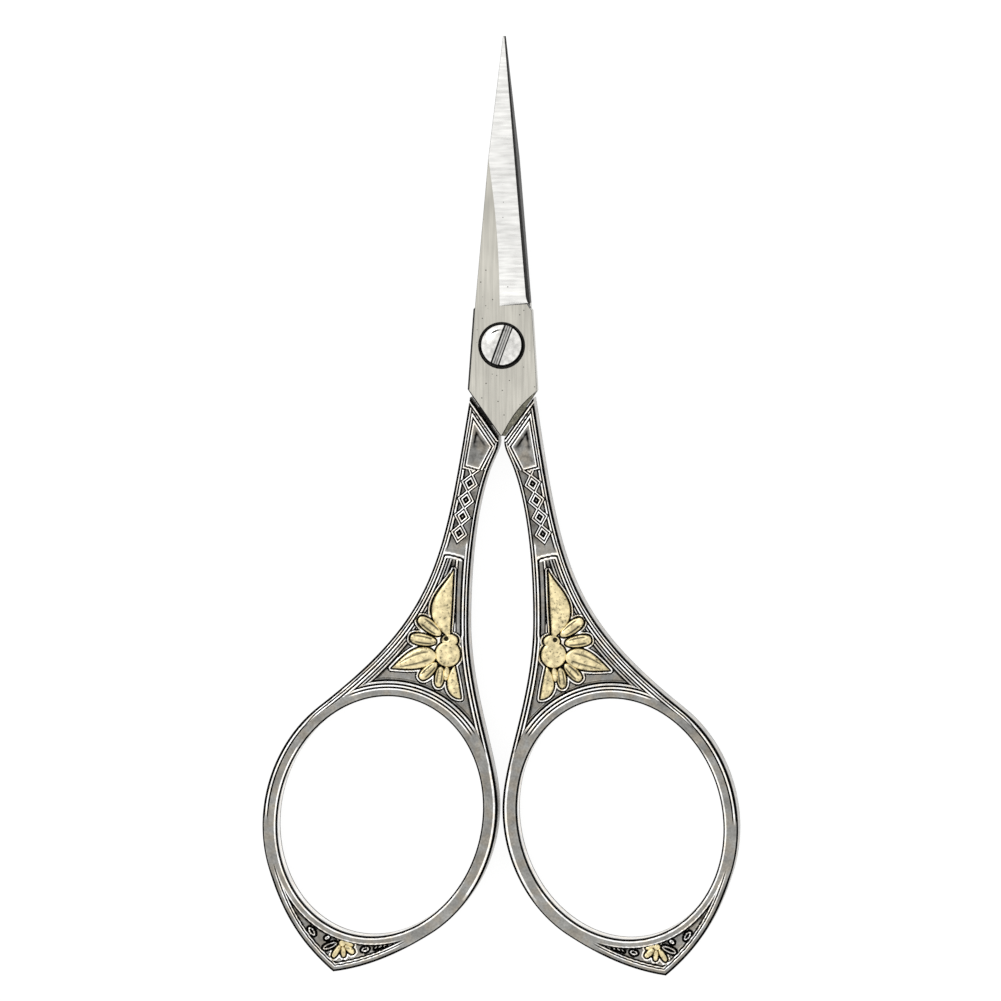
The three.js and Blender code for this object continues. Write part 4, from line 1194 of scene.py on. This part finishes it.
def petal_dome(petal, on_back):
    """A closed dome over a petal: rows at shares of its length, columns across it, the height
    following a flattened half circle across and the half width along, and a flat underside."""
    share = 0.5 - 0.5 * np.cos(np.linspace(0.001, 1, PETAL_ROWS) * np.pi * 0.999)
    side = np.sin(np.linspace(-1, 1, PETAL_COLUMNS) * np.pi / 2)
    shares, sides = np.meshgrid(share, side, indexing="ij")
    plane = petal.surface(shares, sides)
    fullness = petal.half_width(share)[:, None] / (petal.width / 2)
    across = np.sqrt(np.clip(1 - abs(sides) ** 3, 0, 1))
    round_over = across * np.minimum(1, fullness * 1.6) ** 0.5
    tone = np.zeros_like(shares)
    if petal.vein:
        place, width = petal.vein
        along = window(shares, *VEIN_ENDS)
        tone = -np.exp(-((abs(sides) - place) / width) ** 2) * along
    height = PETAL_RISE * round_over + CUT_DEPTH * tone
    tone = tone - 0.5 * (1 - eased(round_over, 0.1, 0.5))
    if petal is BUD:
        from_pit = np.hypot(*np.moveaxis(plane - BUD_PIT, -1, 0))
        hollow = 1 - eased(from_pit, 0.5 * BUD_PIT_RADIUS, BUD_PIT_RADIUS)
        height = height * (1 - 0.6 * hollow)
        tone = tone - 2 * hollow
    upper = np.dstack([plane, PETAL_FLOOR + height])
    lower = np.dstack([plane, np.full_like(height, PETAL_FLOOR - PETAL_FOOT)])[:, ::-1]
    sections = np.concatenate([upper, lower], axis=1)
    tones = np.concatenate([tone, np.full_like(tone, -1)], axis=1)
    rings, around = sections.shape[:2]
    quads = [tube_quads(rings, around)]
    for row, is_end in ((0, False), (rings - 1, True)):
        loop = row * around + np.arange(around)
        near, far = loop[: around // 2], loop[around // 2:][::-1]
        cap = np.stack([near[:-1], near[1:], far[1:], far[:-1]], -1)
        quads.append(cap if is_end else cap[:, ::-1])
    points, quads = sections.reshape(-1, 3), np.concatenate(quads)
    if on_back:
        return points * (1, 1, -1) + (0, 0, THICKNESS), quads, tones.ravel()
    return points, quads[:, ::-1], tones.ravel()


def worn_gold():
    """Pale gold with fine pits, its cut lines and edges left dark."""
    material, tree, shader = new_material("worn_gilding")
    pits = ranged(tree, grain(tree, (3300, 3300, 3300)), 0.36, 1.05, 0.3, 0.45)
    clouds = ranged(tree, grain(tree, (1300, 1300, 1300), 3.0), 0.64, 1.34)
    cut = ranged(tree, tone_of(tree), 0.03, 1.0, -1.0, -0.15)
    factor = combined(tree, combined(tree, pits, clouds), cut)
    feed(tree, shader.inputs, {
        "Base Color": tinted(tree, GOLD, factor),
        "Roughness": 0.38,
        "Normal": bumps(tree, clouds, 0.01),
    })
    return material


gold = worn_gold()
petals = FAN_PETALS + SPUR_PETALS
domes = [petal_dome(petal, on_back) for on_back in (False, True) for petal in petals]
for half, body, is_back in HALVES:
    name = f"{half}_handle_gilding"
    parts = [(turned_over(points) if is_back else points, quads) for points, quads, _ in domes]
    mesh = joined_mesh(name, parts, [tones for _, _, tones in domes], crease=60)
    add_piece(name, mesh, gold, body, f"{half}_handle")

# Table, light and camera
# A white table under soft studio light. The camera looks down from far off, a little from the
# upper right, so the rings' inner walls just show on their lower and left sides.
PICTURE_WIDTH = 122.25  # this and the sensor are in millimetres, the other lengths in metres
CAMERA_TARGET = Vector((-0.00006, -0.01895, 0.0046))
CAMERA_SIDE = Vector((0.086, 0.06, 1.0)).normalized()
CAMERA_DISTANCE = 1.5
CAMERA_ROLL = np.radians(0.23)
SENSOR = 36.0
TABLE_SIZE = 6
TABLE_TOP = -0.0001  # just below the part
TABLE_GLOW = 1.05
GLOW_SHARE = 0.88  # how much of the table that the camera and the metal see is its glow
SKY_EDGE = 1.3
SKY_TOP = 1.1
LAMP_PLACE = Vector((-0.5, 0.45, 0.75))
LAMP_SIZE = 0.5
LAMP_POWER = 3.0

table_material, tree, shader = new_material("white_table", 0.0)
feed(tree, shader.inputs, {
    "Base Color": (0.92, 0.92, 0.92, 1),
    "Roughness": 0.9,
    "Specular IOR Level": 0.0,
})
in_camera = add_node(tree, "ShaderNodeLightPath", "Is Camera Ray", {})
in_metal = in_camera.node.outputs["Is Glossy Ray"]
seen = combined(tree, combined(tree, in_camera, in_metal, "MAXIMUM"), GLOW_SHARE)
glow = add_node(tree, "ShaderNodeEmission", "Emission", {"Strength": TABLE_GLOW})
surface = add_node(
    tree, "ShaderNodeMixShader", "Shader", {"Fac": seen, 1: shader.outputs["BSDF"], 2: glow}
)
feed(tree, tree.nodes["Material Output"].inputs, {"Surface": surface})
bpy.ops.mesh.primitive_plane_add(size=TABLE_SIZE, location=(0, 0, TABLE_TOP))
table = bpy.context.object
table.name = "table"
table.data.materials.append(table_material)

world = bpy.data.worlds.new("studio")
bpy.context.scene.world = world
world.use_nodes = True
sky = world.node_tree
direction = add_node(sky, "ShaderNodeTexCoord", "Generated", {})
height = add_node(sky, "ShaderNodeSeparateXYZ", "Z", {"Vector": direction})
level = ranged(sky, height, SKY_EDGE, SKY_TOP, 0.2, 0.95)
feed(sky, sky.nodes["Background"].inputs, {"Color": (1, 1, 1, 1), "Strength": level})

lamp_data = bpy.data.lights.new("key", "AREA")
lamp_data.size = LAMP_SIZE
lamp_data.energy = LAMP_POWER
lamp = bpy.data.objects.new("key", lamp_data)
bpy.context.collection.objects.link(lamp)
aim = LAMP_PLACE.to_track_quat("Z", "Y").to_matrix().to_4x4()
lamp.matrix_world = Matrix.Translation(LAMP_PLACE) @ aim

camera_data = bpy.data.cameras.new("camera")
camera_data.sensor_width = SENSOR
camera_data.lens = SENSOR * CAMERA_DISTANCE / (PICTURE_WIDTH * MM)
camera_data.clip_end = 20
camera = bpy.data.objects.new("camera", camera_data)
bpy.context.collection.objects.link(camera)
right = Vector((0, 1, 0)).cross(CAMERA_SIDE).normalized()
facing = Matrix((right, CAMERA_SIDE.cross(right), CAMERA_SIDE)).transposed().to_4x4()
roll = Matrix.Rotation(CAMERA_ROLL, 4, "Z")
place = CAMERA_TARGET + CAMERA_SIDE * CAMERA_DISTANCE
camera.matrix_world = Matrix.Translation(place) @ facing @ roll
bpy.context.scene.camera = camera
bpy.context.scene.view_settings.view_transform = "Standard"
